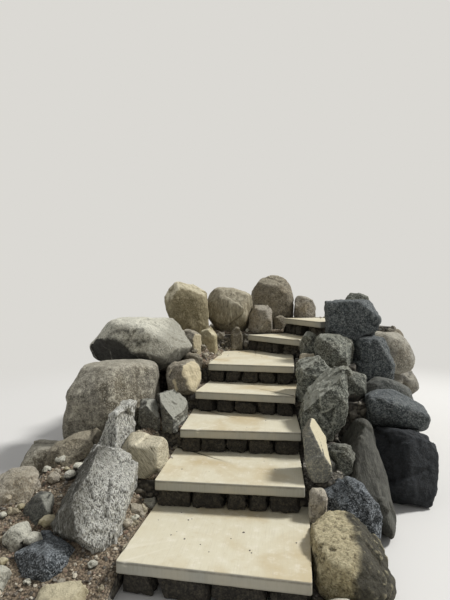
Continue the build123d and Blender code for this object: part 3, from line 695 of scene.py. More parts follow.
def shells(node):
    """The separate solids of a CAD node, each as a plain mesh."""
    whole = bmesh.new()
    whole.from_mesh(NODES[node].data)
    bmesh.ops.remove_doubles(whole, verts=whole.verts, dist=WELD)
    left = set(whole.verts)
    found = []
    while left:
        queue = [min(left, key=lambda v: v.index)]
        group = set(queue)
        while queue:
            for edge in queue.pop().link_edges:
                for vert in edge.verts:
                    if vert not in group:
                        group.add(vert)
                        queue.append(vert)
        left -= group
        found.append([vert.co.copy() for vert in sorted(group, key=lambda v: v.index)])
    whole.free()
    return found


def hull_mesh(points, cuts=()):
    """Closed mesh round points; each cut has a direction and the share of the reach it leaves."""
    body = bmesh.new()
    middle = sum(points, Vector()) / len(points)
    for point in points:
        body.verts.new(point)
    bmesh.ops.convex_hull(body, input=body.verts)
    for direction, share in cuts:
        outward = Vector(direction).normalized()
        reach = max((point - middle).dot(outward) for point in points)
        every = body.verts[:] + body.edges[:] + body.faces[:]
        bmesh.ops.bisect_plane(
            body, geom=every, plane_co=middle + outward * reach * share, plane_no=outward, clear_outer=True
        )
        bmesh.ops.holes_fill(body, edges=[edge for edge in body.edges if edge.is_boundary])
    loose = [vert for vert in body.verts if not vert.link_faces]
    bmesh.ops.delete(body, geom=loose, context="VERTS")
    bmesh.ops.recalc_face_normals(body, faces=body.faces)
    return mesh_of(body, "shell")


# How a rock was broken or worn: passes of rounding, the size of its facets and of its chips and
# their tilts, how far it swells, the depth and size of its grain, how far that is drawn out
# upwards, the depth of its pits and how far the whole skin stands off, in metres
BREAKAGE = (
    "Rounding", "Facet Size", "Facet Tilt", "Chip Size", "Chip Tilt", "Swell", "Grain", "Grain Size",
    "Streak", "Pits", "Bias",
)
WEATHERING = {
    "split": (2, 0.24, 0.2, 0.07, 0.24, 0.012, 0.024, 0.04, 0.45, 0.0, -0.007),
    "blocky": (4, 0.3, 0.18, 0.08, 0.2, 0.012, 0.018, 0.055, 1.0, 0.0, -0.004),
    "shard": (1, 0.3, 0.06, 0.06, 0.08, 0.003, 0.004, 0.04, 1.0, 0.0, -0.001),
    "flaked": (1, 0.16, 0.16, 0.05, 0.24, 0.006, 0.015, 0.04, 1.0, 0.0, -0.005),
    "smooth": (22, 0.4, 0.1, 0.12, 0.06, 0.022, 0.009, 0.055, 1.0, 0.0, 0.0),
    "worn": (30, 0.4, 0.08, 0.12, 0.05, 0.024, 0.009, 0.055, 1.0, 0.0, 0.003),
    "field": (14, 0.3, 0.14, 0.1, 0.1, 0.016, 0.011, 0.055, 1.0, 0.0, -0.002),
    "course": (6, 0.35, 0.14, 0.14, 0.1, 0.012, 0.014, 0.07, 1.0, 0.0, 0.004),
    "pitted": (14, 0.3, 0.14, 0.08, 0.14, 0.016, 0.02, 0.04, 1.0, -0.024, -0.001),
    "cobble": (3, 0.12, 0.2, 0.045, 0.16, 0.006, 0.004, 0.04, 1.0, 0.0, -0.002),
    "squared": (3, 0.12, 0.2, 0.045, 0.25, 0.006, 0.006, 0.04, 1.0, 0.0, -0.004),
}


def on_floor(mesh):
    """Lifts whatever dips below the floor up to it."""
    spots = np.empty(len(mesh.vertices) * 3, np.float32)
    mesh.vertices.foreach_get("co", spots)
    spots[2::3] = np.maximum(spots[2::3], 0)
    mesh.vertices.foreach_set("co", spots)
    return mesh


def weathered(points, kind, detail, stone, seed, cuts=()):
    """One rock: a closed skin of even faces, weathered by the node tree."""
    plain = place_object("plain_rock", hull_mesh(points, cuts))
    remesh = plain.modifiers.new("skin", "REMESH")
    remesh.mode = "VOXEL"
    remesh.voxel_size = detail
    rock = place_object("rock", evaluated_mesh(plain))
    common = {"Easing": 1, "Seed": float(seed), "Material": finish(stone)}
    apply_nodes(rock, "weathered_rock", {**common, **dict(zip(BREAKAGE, WEATHERING[kind]))})
    return on_floor(evaluated_mesh(rock))


def merge_meshes(meshes, tones, stones):
    """Joins meshes into one; each keeps its tone and its own kind of stone."""
    whole = bmesh.new()
    kinds = list(dict.fromkeys(stones))
    for mesh, tone, stone in zip(meshes, tones, stones):
        mesh.polygons.foreach_set("material_index", [kinds.index(stone)] * len(mesh.polygons))
        layer = mesh.attributes.new("tone", "FLOAT", "POINT")
        layer.data.foreach_set("value", np.full(len(mesh.vertices), tone, np.float32))
        whole.from_mesh(mesh)
    joined = mesh_of(whole, "joined")
    for mesh in meshes:
        bpy.data.meshes.remove(mesh)
    for stone in kinds:
        joined.materials.append(finish(stone))
    return joined


# Each rock of the banks: its stone, how it was broken, its slot and the size of its faces in mm
ROCKS = {
    "left_foot_boulder": ("aged_granite", "split", "grey_granite", 8),
    "left_spike_boulder": ("split_granite", "split", "grey_granite", 8),
    "left_grained_boulder": ("banded_gneiss", "smooth", "tan_stone", 9),
    "left_split_boulder": ("flaked_basalt", "flaked", "grey_granite", 7),
    "left_round_boulder": ("scarred_granite", "field", "tan_stone", 9),
    "left_great_boulder": ("weathered_granite", "worn", "grey_granite", 12),
    "left_overhanging_boulder": ("leaning_granite", "smooth", "grey_granite", 12),
    "left_low_boulder": ("brown_granite", "blocky", "grey_granite", 11),
    "left_outer_boulder": ("tan_granite", "blocky", "grey_granite", 11),
    "left_far_boulder": ("weathered_granite", "field", "grey_granite", 12),
    "left_front_boulder": ("blue_granite", "blocky", "blue_grey_granite", 9),
    "left_cream_boulder": ("cream_quartzite", "blocky", "tan_stone", 8),
    "head_cream_boulder": ("earthy_quartzite", "smooth", "cream_stone", 11),
    "head_middle_boulder": ("streaked_quartzite", "worn", "cream_stone", 11),
    "head_tall_boulder": ("brown_granite", "field", "cream_stone", 12),
    "right_foot_boulder": ("pitted_sandstone", "pitted", "tan_stone", 9),
    "right_speckled_boulder": ("blue_granite", "blocky", "blue_grey_granite", 9),
    "right_long_boulder": ("worn_schist", "worn", "tan_stone", 11),
    "right_shard_boulder": ("edged_shard", "shard", "grey_granite", 6),
    "right_leaning_boulder": ("crested_granite", "split", "grey_granite", 8),
    "right_rear_boulder": ("crested_granite", "split", "grey_granite", 10),
    "right_dark_boulder": ("dark_basalt", "blocky", "blue_grey_granite", 13),
    "right_oval_boulder": ("dull_granite", "smooth", "blue_grey_granite", 11),
    "right_upper_boulder": ("crested_granite", "blocky", "blue_grey_granite", 11),
    "right_grey_boulder": ("dull_granite", "blocky", "blue_grey_granite", 12),
    "right_block_boulder": ("dull_granite", "blocky", "blue_grey_granite", 12),
}

# Nodes of several stones: their stone, how they were broken, slot and size of faces in mm
CLUSTERS = {
    "left_small_stones": (
        ("pale_granite", "tan_granite", "scarred_granite", "cream_quartzite", "tan_granite",
         "brown_granite", "flaked_basalt", "pale_granite", "pale_granite", "tan_granite", "pale_granite"),
        "cobble", "grey_granite", 9,
    ),
    "right_small_stones": (
        ("green_granite", "tan_granite", "worn_schist", "green_granite", "brown_granite",
         "crested_granite", "pale_granite"),
        "cobble", "grey_granite", 9,
    ),
    "head_small_stones": (
        ("tan_granite", "brown_granite", "tan_granite", "green_granite", "brown_granite"),
        "cobble", "cream_stone", 11,
    ),
    "right_base_boulders": (("base_granite", "dull_granite"), "field", "grey_granite", 20),
    "base_course_1": (("course_granite", "weathered_granite", "brown_granite"), "course", "grey_granite", 20),
    "base_course_2": (("weathered_granite", "course_granite"), "course", "grey_granite", 20),
    "base_course_3": (("course_granite", "brown_granite", "weathered_granite"), "course", "grey_granite", 20),
}

# Later splits of some rocks: the way each one faces and the share of the rock's reach it leaves
CUTS = {
    "left_foot_boulder": [((-0.5, -0.86, 0.05), 0.86)],
    "left_grained_boulder": [((0.62, -0.5, -0.6), 0.78), ((-0.7, -0.2, 0.68), 0.8)],
    "left_round_boulder": [((0.83, -0.5, 0.25), 0.72)],
    "head_middle_boulder": [((-0.5, -0.75, 0.4), 0.8)],
    "head_cream_boulder": [((0.5, -0.85, -0.1), 0.8)],
    "right_dark_boulder": [
        ((0.45, -0.8, 0.4), 0.82), ((-0.5, -0.8, 0.35), 0.78), ((-0.2, -0.85, -0.5), 0.85),
    ],
    "right_speckled_boulder": [((-0.55, -0.4, 0.73), 0.8), ((0.2, -0.95, -0.05), 0.82)],
    "right_grey_boulder": [((-0.3, -0.9, 0.3), 0.84), ((0.8, -0.5, -0.2), 0.85)],
    "right_leaning_boulder": [((-0.62, -0.3, 0.72), 0.86), ((0.75, -0.6, 0.3), 0.8)],
}


# Slabs


# A corner of a slab's plan turns more than this, in radians, and is eased over so many points
CORNER_TURN = 0.02
CORNER_POINTS = 5


def worn_outline(node, step, corner):
    """Plan of a slab as even points with outward directions, its upright corners eased."""
    plan = {(round(v.co.x, 4), round(v.co.y, 4)) for v in NODES[node].data.vertices}
    spots = [Vector(spot) for spot in sorted(plan)]
    hull = [spots[i] for i in convex_hull_2d(spots)]
    if sum(a.x * b.y - b.x * a.y for a, b in zip(hull, hull[1:] + hull[:1])) < 0:
        hull.reverse()
    corners = []
    for i, spot in enumerate(hull):
        on = hull[(i + 1) % len(hull)] - spot
        if abs((spot - hull[i - 1]).angle_signed(on)) > CORNER_TURN:
            corners.append(spot)
    points, bends = [], []
    for i, spot in enumerate(corners):
        before, after = corners[i - 1], corners[(i + 1) % len(corners)]
        back, on = (before - spot).normalized(), (after - spot).normalized()
        start, end = spot + back * corner, spot + on * corner
        for j in range(CORNER_POINTS):
            t = j / (CORNER_POINTS - 1)
            bends.append(len(points))
            points.append(start * (1 - t) ** 2 + spot * (2 * t * (1 - t)) + end * t**2)
        far = after - on * corner
        count = max(2, round((far - end).length / step))
        points += [end.lerp(far, j / count) for j in range(1, count)]
    outward = []
    for i, point in enumerate(points):
        along = points[(i + 1) % len(points)] - points[i - 1]
        outward.append(Vector((along.y, -along.x)).normalized())
    return points, outward, bends


# Steps round an arris, rings up a slab's side as shares of its thickness, and the points of its
# outline to a chip
ARRIS_STEPS = 5
SIDE_RINGS = (0.35, 0.5, 0.65)
POINTS_TO_A_CHIP = 26


def worn_slab(node, arris, chip, seed):
    """A sawn slab whose arrises are eased unevenly and chipped here and there."""
    chance = random.Random(seed)
    low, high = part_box(node)
    thick = high.z - low.z
    points, outward, corner = worn_outline(node, step=13 * MM, corner=15 * MM)
    count = len(points)
    radii = {}
    for edge in ("top", "bottom"):
        shift = Vector((chance.uniform(0, 50), chance.uniform(0, 50), 0))
        radii[edge] = []
        for point in points:
            wave = noise.noise(Vector((point.x, point.y, 0)) * 9 + shift)
            radii[edge].append(arris * (1 + 0.35 * wave))
        for _ in range(round(count / POINTS_TO_A_CHIP)):
            middle = chance.randrange(count)
            spread = chance.randint(1, 3)
            deep = chance.uniform(0.3, 1) ** 2 * chip
            for step in range(-spread, spread + 1):
                share = 1 - abs(step) / (spread + 1)
                radii[edge][(middle + step) % count] += deep * share * chance.uniform(0.7, 1)
        for i in corner:
            radii[edge][i] = min(radii[edge][i], arris * 1.2)
    rings = []

    def ring(depth, drop):
        rings.append(([depth(i) for i in range(count)], [drop(i) for i in range(count)]))

    def unevenness(i, share):
        at = Vector((points[i].x * 12, points[i].y * 12, share * 9))
        return 0.5 * MM * noise.noise(at) + 0.3 * MM

    turns = [math.pi / 2 * k / ARRIS_STEPS for k in range(ARRIS_STEPS + 1)]
    for turn in turns:
        ring(
            lambda i: radii["top"][i] * (1 - math.sin(turn)),
            lambda i: radii["top"][i] * (1 - math.cos(turn)),
        )
    for share in SIDE_RINGS:
        ring(lambda i: unevenness(i, share), lambda i: thick * share)
    for turn in reversed(turns):
        ring(
            lambda i: radii["bottom"][i] * (1 - math.sin(turn)),
            lambda i: thick - radii["bottom"][i] * (1 - math.cos(turn)),
        )

    body = bmesh.new()
    drop_layer = body.verts.layers.float.new("drop")
    wear_layer = body.verts.layers.float.new("wear")
    made = []
    for depths, drops in rings:
        row = []
        for i in range(count):
            flat = points[i] - outward[i] * depths[i]
            vert = body.verts.new((flat.x, flat.y, high.z - drops[i]))
            vert[drop_layer] = drops[i]
            on_arris = 0 < depths[i] < 30 * MM and drops[i] < thick / 2
            vert[wear_layer] = (radii["top"][i] / arris - 1.25) if on_arris else 0
            row.append(vert)
        made.append(row)
    for above, below in zip(made, made[1:]):
        for i in range(count):
            j = (i + 1) % count
            body.faces.new((above[i], below[i], below[j], above[j])).smooth = True
    # Top and bottom are fans round the middle, so that no long thin face lies across them
    for row, level in ((made[0], high.z), (made[-1], low.z)):
        middle = body.verts.new(((low.x + high.x) / 2, (low.y + high.y) / 2, level))
        middle[drop_layer] = high.z - level
        for i in range(count):
            body.faces.new((row[i], row[(i + 1) % count], middle))
    bmesh.ops.recalc_face_normals(body, faces=body.faces)
    return mesh_of(body, f"worn_{node}")


# Beds of grit between the boulders


class Bed:
    """A bed of grit: its plan, the levels of its top, the face it lies on and its stones.

    The levels of a bed that follows the packing are heights above the packing. The rims are
    the sides of the outline where the bed ends in the open and thins out.
    """

    SLOPE = 0.22  # how far from an open rim the bed has its full height
    GROUND_BLEND = 0.08  # height of the packing over which a following bed thins out to the floor
    EVENING = 6  # passes that even the stepped rim of the grid

    def __init__(self, name, outline, levels, base, stones, follows=False, ragged=0.0, rims=()):
        self.name = name
        self.outline = outline
        self.levels = levels
        self.base = base
        self.stones = stones
        self.follows = follows
        self.ragged = ragged
        self.rims = rims

    def holds(self, x, y):
        inside = False
        for (ax, ay), (bx, by) in zip(self.outline, self.outline[1:] + self.outline[:1]):
            if (ay > y) != (by > y) and x < (bx - ax) * (y - ay) / (by - ay) + ax:
                inside = not inside
        return inside

    def level(self, x, y, packing):
        total = weight = 0.0
        for px, py, pz in self.levels:
            pull = 1 / ((x - px) ** 2 + (y - py) ** 2 + 1e-4) ** 1.4
            total += pull * pz
            weight += pull
        height = total / weight
        rough = 9 * MM * noise.fractal(Vector((x * 7, y * 7, self.base)), 1, 2, 3)
        if self.follows:
            hit = packing.ray_cast(Vector((x, y, 3)), -UP)[0]
            below = hit.z if hit else 0
            share = min(1, below / self.GROUND_BLEND)
            height, rough = below + height * share, rough * share
        # The bed thins out towards its open rims
        share = 1.0
        for rim in self.rims:
            start, end = Vector(self.outline[rim]), Vector(self.outline[(rim + 1) % len(self.outline)])
            nearest, along = intersect_point_line(Vector((x, y)), start, end)
            nearest = start.lerp(end, min(1, max(0, along)))
            share = min(share, (Vector((x, y)) - nearest).length / self.SLOPE)
        height = self.base + (height - self.base) * share
        return max(self.base + 4 * MM, height + rough)

    def mesh(self, pitch, packing):
        """Closed mound on a square grid."""
        xs = [p[0] for p in self.outline]
        ys = [p[1] for p in self.outline]
        body = bmesh.new()
        corners = {}

        def corner(i, j):
            if (i, j) not in corners:
                x, y = min(xs) + i * pitch, min(ys) + j * pitch
                corners[i, j] = body.verts.new((x, y, self.level(x, y, packing)))
            return corners[i, j]

        tops = []
        for i in range(int((max(xs) - min(xs)) / pitch) + 1):
            for j in range(int((max(ys) - min(ys)) / pitch) + 1):
                x, y = min(xs) + (i + 0.5) * pitch, min(ys) + (j + 0.5) * pitch
                sway = [self.ragged * noise.noise(Vector((x * 3, y * 3, z))) for z in (0, 5)]
                if self.holds(x + sway[0], y + sway[1]):
                    ring = [corner(i, j), corner(i + 1, j), corner(i + 1, j + 1), corner(i, j + 1)]
                    tops.append(body.faces.new(ring))
        for _ in range(self.EVENING):
            spots = {}
            for vert in body.verts:
                beside = [edge.other_vert(vert).co for edge in vert.link_edges if edge.is_boundary]
                if len(beside) == 2:
                    spots[vert] = (vert.co * 2 + beside[0] + beside[1]) / 4
            for vert, spot in spots.items():
                vert.co = spot
        # Walls and an underside close the mound
        rim = [edge.link_loops[0] for edge in body.edges if edge.is_boundary]
        under = {vert: body.verts.new((vert.co.x, vert.co.y, self.base)) for vert in list(body.verts)}
        for loop in rim:
            start, end = loop.vert, loop.link_loop_next.vert
            body.faces.new((end, start, under[start], under[end]))
        for face in tops:
            body.faces.new([under[vert] for vert in reversed(face.verts)])
        for face in body.faces:
            face.smooth = True
        bmesh.ops.recalc_face_normals(body, faces=body.faces)
        return mesh_of(body, self.name)


# The grit, the gravel and the cobbles of a bed, by the kind of its stones
BED_STONES = {
    "gravel": ("tan_grit", "mixed_gravel", "pale_cobble"),
    "dark": ("dark_grit", "dark_gravel", "dark_gravel"),
}

BEDS = [
    Bed(
        "left_foot_grit",
        [(-0.535, -0.57), (-0.535, 0.42), (-0.84, 0.43), (-0.84, 0.79), (-1.3, 0.86), (-1.74, 0.8),
         (-1.77, 0.1), (-1.72, -0.45), (-1.45, -0.58), (-1.0, -0.55)],
        [(-0.55, -0.4, 0.02), (-0.55, 0.4, 0.02), (-1.1, -0.2, 0.03), (-1.15, 0.25, 0.12), (-1.45, 0.1, 0.11),
         (-1.35, 0.4, 0.1), (-1.0, 0.7, 0.05), (-1.6, -0.4, 0.01)],
        0.0,
        "gravel",
        follows=True,
        ragged=0.05,
    ),
    Bed(
        "left_second_grit",
        [(-0.51, 0.46), (-0.49, 1.0), (-0.82, 1.0), (-0.82, 0.46)],
        [(-0.5, 0.5, 0.36), (-0.49, 0.95, 0.375), (-0.8, 0.5, 0.45), (-0.8, 0.95, 0.55)],
        0.322,
        "gravel",
    ),
    Bed(
        "left_third_grit",
        [(-0.463, 1.0), (-0.46, 1.54), (-0.75, 1.54), (-0.75, 1.0)],
        [(-0.47, 1.05, 0.56), (-0.46, 1.5, 0.565), (-0.74, 1.05, 0.62), (-0.74, 1.5, 0.68)],
        0.517,
        "gravel",
    ),
    Bed(
        "left_fourth_grit",
        [(-0.45, 1.54), (-0.42, 1.99), (-0.75, 2.0), (-0.75, 1.54)],
        [(-0.46, 1.6, 0.75), (-0.43, 1.95, 0.76), (-0.74, 1.6, 0.82), (-0.74, 1.95, 0.9)],
        0.712,
        "gravel",
    ),
    Bed(
        "turn_grit",
        [(-0.416, 2.0), (-0.416, 2.92), (-0.1, 3.2), (-0.6, 3.42), (-1.04, 3.3), (-1.04, 2.0)],
        [(-0.42, 2.05, 0.96), (-0.42, 2.5, 0.965), (-0.42, 2.9, 0.97), (-0.2, 3.1, 1.03), (-0.65, 2.05, 1.05),
         (-0.65, 2.4, 1.12), (-0.62, 2.9, 1.16), (-1.0, 2.1, 1.14), (-1.0, 2.6, 1.2), (-1.0, 3.0, 1.21),
         (-0.4, 3.25, 1.16), (-0.6, 3.4, 1.2), (-0.52, 2.2, 1.01), (-0.5, 2.65, 1.03)],
        0.907,
        "gravel",
    ),
    Bed(
        "bank_grit",
        [(-1.29, 2.45), (-1.04, 2.55), (-1.0, 2.85), (-0.1, 3.28), (0.36, 3.4), (0.1, 4.29), (-1.29, 4.29)],
        [(-1.28, 2.5, 1.19), (-1.0, 2.9, 1.2), (-0.1, 3.3, 1.2), (0.3, 3.42, 1.23), (0.25, 3.9, 1.3),
         (0.1, 4.28, 1.27), (-0.5, 3.9, 1.25), (-1.1, 3.8, 1.24), (-1.28, 4.28, 1.22), (-0.6, 4.28, 1.22)],
        1.184,
        "gravel",
        rims=(5, 6),
    ),
    Bed(
        "landing_grit",
        [(0.93, 3.3), (1.3, 2.68), (1.5, 2.8), (1.1, 4.29), (0.15, 4.29), (0.42, 3.46)],
        [(0.95, 3.35, 1.37), (1.28, 2.75, 1.365), (1.45, 2.85, 1.34), (1.2, 3.6, 1.36), (1.08, 4.28, 1.33),
         (0.6, 4.28, 1.36), (0.18, 4.25, 1.35), (0.45, 3.6, 1.37), (0.7, 3.6, 1.385), (0.8, 3.95, 1.38)],
        1.322,
        "gravel",
        rims=(2, 3, 4),
    ),
    Bed(
        "right_foot_grit",
        [(0.54, -0.3), (0.72, -0.36), (0.72, 0.45), (0.54, 0.45)],
        [(0.54, -0.28, 0.06), (0.54, 0.2, 0.12), (0.54, 0.44, 0.17), (0.7, -0.3, 0.0), (0.7, 0.3, 0.14)],
        0.0,
        "dark",
    ),
    Bed(
        "right_second_grit",
        [(0.53, 0.46), (0.79, 0.46), (0.79, 1.0), (0.53, 1.0)],
        [(0.53, 0.5, 0.35), (0.53, 0.95, 0.37), (0.78, 0.5, 0.4), (0.78, 0.95, 0.5)],
        0.322,
        "dark",
    ),
    Bed(
        "right_third_grit",
        [(0.51, 1.0), (0.79, 1.0), (0.79, 1.54), (0.51, 1.54)],
        [(0.52, 1.05, 0.55), (0.52, 1.5, 0.56), (0.78, 1.05, 0.64), (0.78, 1.5, 0.7)],
        0.517,
        "dark",
    ),
    Bed(
        "right_fourth_grit",
        [(0.48, 1.52), (1.09, 1.5), (1.09, 1.9), (0.48, 1.97)],
        [(0.48, 1.55, 0.75), (0.48, 1.9, 0.76), (0.8, 1.6, 0.8), (1.08, 1.6, 0.8), (1.08, 1.85, 0.9),
         (0.8, 1.9, 0.9)],
        0.712,
        "dark",
    ),
    Bed(
        "right_turn_grit",
        [(0.48, 1.97), (1.09, 1.9), (1.09, 2.55), (0.6, 2.5), (0.47, 2.42)],
        [(0.48, 2.0, 0.94), (0.48, 2.4, 0.95), (0.8, 2.0, 0.98), (1.08, 2.0, 0.98), (1.08, 2.5, 1.1),
         (0.7, 2.45, 1.05)],
        0.907,
        "dark",
    ),
]


# Cobbles set one by one on the beds: place in plan, width and stone, in metres
COBBLES = {
    "left_foot_grit": [
        (-1.28, 0.47, 0.11, "pale_granite"), (-1.36, 0.4, 0.09, "pale_granite"),
        (-1.1, 0.4, 0.1, "pale_granite"), (-1.19, 0.38, 0.065, "cream_quartzite"),
        (-1.12, -0.15, 0.13, "pale_granite"), (-1.1, -0.03, 0.12, "cream_quartzite"),
        (-1.32, 0.02, 0.07, "cream_quartzite"), (-1.4, -0.05, 0.07, "pale_granite"),
        (-1.22, 0.25, 0.12, "tan_granite"), (-1.12, 0.29, 0.09, "pale_granite"),
        (-1.25, 0.35, 0.06, "tan_granite"), (-1.43, 0.06, 0.08, "tan_granite"),
        (-0.69, -0.25, 0.075, "pale_granite"), (-1.22, -0.3, 0.08, "cream_quartzite"),
        (-1.01, -0.38, 0.06, "pale_granite"), (-0.82, -0.36, 0.055, "tan_granite"),
        (-0.57, 0.1, 0.08, "pale_granite"), (-0.59, 0.03, 0.085, "tan_granite"),
        (-1.5, -0.25, 0.1, "tan_granite"), (-1.36, -0.4, 0.07, "pale_granite"),
        (-1.6, 0.0, 0.09, "weathered_granite"),
    ],
    "turn_grit": [
        (-0.5, 2.13, 0.09, "tan_granite"), (-0.57, 2.33, 0.11, "weathered_granite"),
        (-0.48, 2.44, 0.07, "pale_granite"), (-0.64, 2.2, 0.1, "brown_granite"),
        (-0.49, 2.72, 0.09, "tan_granite"), (-0.6, 2.8, 0.1, "brown_granite"),
        (-0.47, 2.92, 0.07, "pale_granite"), (-0.72, 2.86, 0.13, "weathered_granite"),
        (-0.84, 2.95, 0.15, "tan_granite"), (-0.46, 2.28, 0.06, "tan_granite"),
        (-0.36, 3.05, 0.08, "tan_granite"),
    ],
    "bank_grit": [
        (-0.14, 3.34, 0.09, "pale_granite"), (0.02, 3.4, 0.1, "tan_granite"),
        (0.14, 3.44, 0.09, "brown_granite"), (-0.62, 3.36, 0.12, "brown_granite"),
    ],
    "right_foot_grit": [(0.61, 0.38, 0.09, "tan_granite"), (0.59, 0.22, 0.07, "dull_granite")],
    "right_second_grit": [
        (0.61, 0.54, 0.08, "dull_granite"), (0.6, 0.74, 0.07, "brown_granite"),
        (0.58, 0.92, 0.06, "green_granite"),
    ],
    "right_third_grit": [(0.56, 1.08, 0.06, "brown_granite"), (0.6, 1.32, 0.07, "dull_granite")],
    "right_turn_grit": [
        (0.53, 2.12, 0.08, "brown_granite"), (0.56, 2.3, 0.07, "tan_granite"),
        (0.51, 2.42, 0.06, "green_granite"),
    ],
}

# Crumbs of soil and grit on the slabs: number of the slab, place in plan and width
CRUMBS = [
    (1, -0.295, -0.008, 0.011), (1, -0.202, -0.038, 0.014), (1, 0.143, 0.085, 0.016),
    (1, 0.075, 0.007, 0.009), (1, 0.199, -0.1, 0.013), (1, 0.21, -0.122, 0.01),
    (1, 0.465, 0.018, 0.012), (1, -0.211, 0.2, 0.009), (1, -0.231, 0.184, 0.014),
    (1, -0.3, 0.274, 0.01), (1, -0.425, 0.155, 0.008), (1, -0.095, -0.082, 0.009),
    (1, -0.032, -0.148, 0.008), (5, -0.198, 2.78, 0.016), (5, 0.109, 2.44, 0.013),
    (5, -0.294, 2.47, 0.015), (2, 0.32, 0.62, 0.01), (2, -0.36, 0.52, 0.012), (3, 0.22, 1.2, 0.011),
    (5, -0.31, 2.62, 0.013),
]


LUMP_POINTS = 18


def lump(at, width, height, seed):
    """Points spread over a lump of stone that sits a little below its place."""
    chance = random.Random(seed)
    points = []
    for i in range(LUMP_POINTS):
        level = 1 - (2 * i + 1) / LUMP_POINTS
        around = 2.4 * i + chance.uniform(-0.3, 0.3)
        flat = math.sqrt(1 - level * level)
        spot = Vector((math.cos(around) * flat * width, math.sin(around) * flat * width, level * height)) / 2
        points.append(Vector(at) + spot * chance.uniform(0.8, 1.1) + UP * height * 0.3)
    return points


def solid_space(packing):
    """Search tree of the packing's CAD solids, or of all the others, to tell what is buried."""
    points, faces = [], []
    for name, obj in NODES.items():
        if name.startswith("packing") != packing:
            continue
        shift = len(points)
        points += [tuple(v.co) for v in obj.data.vertices]
        faces += [tuple(i + shift for i in face.vertices) for face in obj.data.polygons]
    return BVHTree.FromPolygons(points, faces)


ROOM = 30 * MM  # a stone lies only where this much is free in front of it
FAR = 4.0  # how far in front of a face a solid is looked for


def buried(space, point, direction):
    """Whether a point lies inside a solid, or has no room in front of it."""
    hit, normal, _, distance = space.ray_cast(point, direction, FAR)
    return hit is not None and (normal.dot(direction) > 0 or distance < ROOM)


def faces_up(face):
    return face.normal.z > 0.5


def stands_upright(face):
    return abs(face.normal.z) < 0.5


def scatter(name, mesh, space, keep, stone, values):
    """Piece of stones scattered over the faces that the keep test takes and that aren't buried."""
    part = bmesh.new()
    part.from_mesh(mesh)
    gone = []
    for face in part.faces:
        centre = face.calc_center_median() + face.normal * 3 * MM
        if not keep(face) or buried(space, centre, face.normal):
            gone.append(face)
    bmesh.ops.delete(part, geom=gone, context="FACES")
    emitter = place_object("open_faces", mesh_of(part, "open_faces"))
    apply_nodes(emitter, "loose_stones", {**values, "Material": finish(stone)})
    stones = on_floor(evaluated_mesh(emitter))
    if stones.vertices:
        settle(name, stones)


# Settings that a user would change


class SlabSettings(bpy.types.PropertyGroup):
    arris: bpy.props.FloatProperty(
        name="Arris", description="Rounding of the sawn edges", default=6.5 * MM, min=0.002, unit="LENGTH"
    )
    chip: bpy.props.FloatProperty(
        name="Chip", description="Depth of the largest chip on an edge", default=9 * MM, min=0, unit="LENGTH"
    )
    top: bpy.props.StringProperty(
        name="Top", description="sRGB colour of the sawn top", default="#d3ccb3"
    )
    side: bpy.props.StringProperty(
        name="Side", description="sRGB colour of the tooled sides", default="#a7a599"
    )


class RockSettings(bpy.types.PropertyGroup):
    detail: bpy.props.FloatProperty(
        name="Detail", description="Size of the rocks' faces, as a share of the listed one",
        default=1.0, min=0.5, max=4,
    )
    seed: bpy.props.IntProperty(name="Seed", description="Changes the facets of every rock", default=3)


class GravelSettings(bpy.types.PropertyGroup):
    pitch: bpy.props.FloatProperty(
        name="Pitch", description="Grid of the beds of grit", default=0.03, min=0.01, unit="LENGTH"
    )
    pebble: bpy.props.FloatProperty(
        name="Pebble", description="Size of the smallest gravel stones", default=0.014, min=0.004,
        unit="LENGTH",
    )
    cobble: bpy.props.FloatProperty(
        name="Cobble", description="Size of the largest loose stones", default=0.085, min=0.02, unit="LENGTH"
    )
    density: bpy.props.FloatProperty(
        name="Density", description="Gravel stones to a square metre", default=1500, min=0
    )
    rubble: bpy.props.FloatProperty(
        name="Rubble", description="Rubble stones to a square metre of the packing", default=240, min=0
    )


class StageSettings(bpy.types.PropertyGroup):
    floor: bpy.props.StringProperty(name="Floor", description="sRGB colour of the floor", default="#dbd9d4")
    sky: bpy.props.FloatProperty(name="Sky", description="Strength of the even light", default=0.41, min=0)
    key: bpy.props.FloatProperty(
        name="Key", description="Power of the lamp over the right bank", default=18800, min=0, unit="POWER"
    )


GROUPS = {"slabs": SlabSettings, "rocks": RockSettings, "gravel": GravelSettings, "stage": StageSettings}


def settings(name):
    return getattr(bpy.context.scene, f"steps_{name}")


# Operators

LAMP_SIZE = 7.2
LAMP_AIM = Vector((0, 1.6, 0.6))
LAMP_REACH = Vector((26.8, 8.8, 32.8))  # from where it aims to the lamp
FLOOR_HALF = 30
FLOOR_FADE = (4.0, 8.0)  # distances over which the floor turns into the backdrop


def shown_directly(tree):
    """One for the rays that see the backdrop itself, straight, mirrored or through glass."""
    path = add(tree, "ShaderNodeLightPath")
    seen = path.outputs["Is Camera Ray"]
    for other in ("Is Glossy Ray", "Is Transmission Ray"):
        seen = add(tree, "ShaderNodeMath", {0: seen, 1: path.outputs[other]}, operation="MAXIMUM").outputs[0]
    return seen


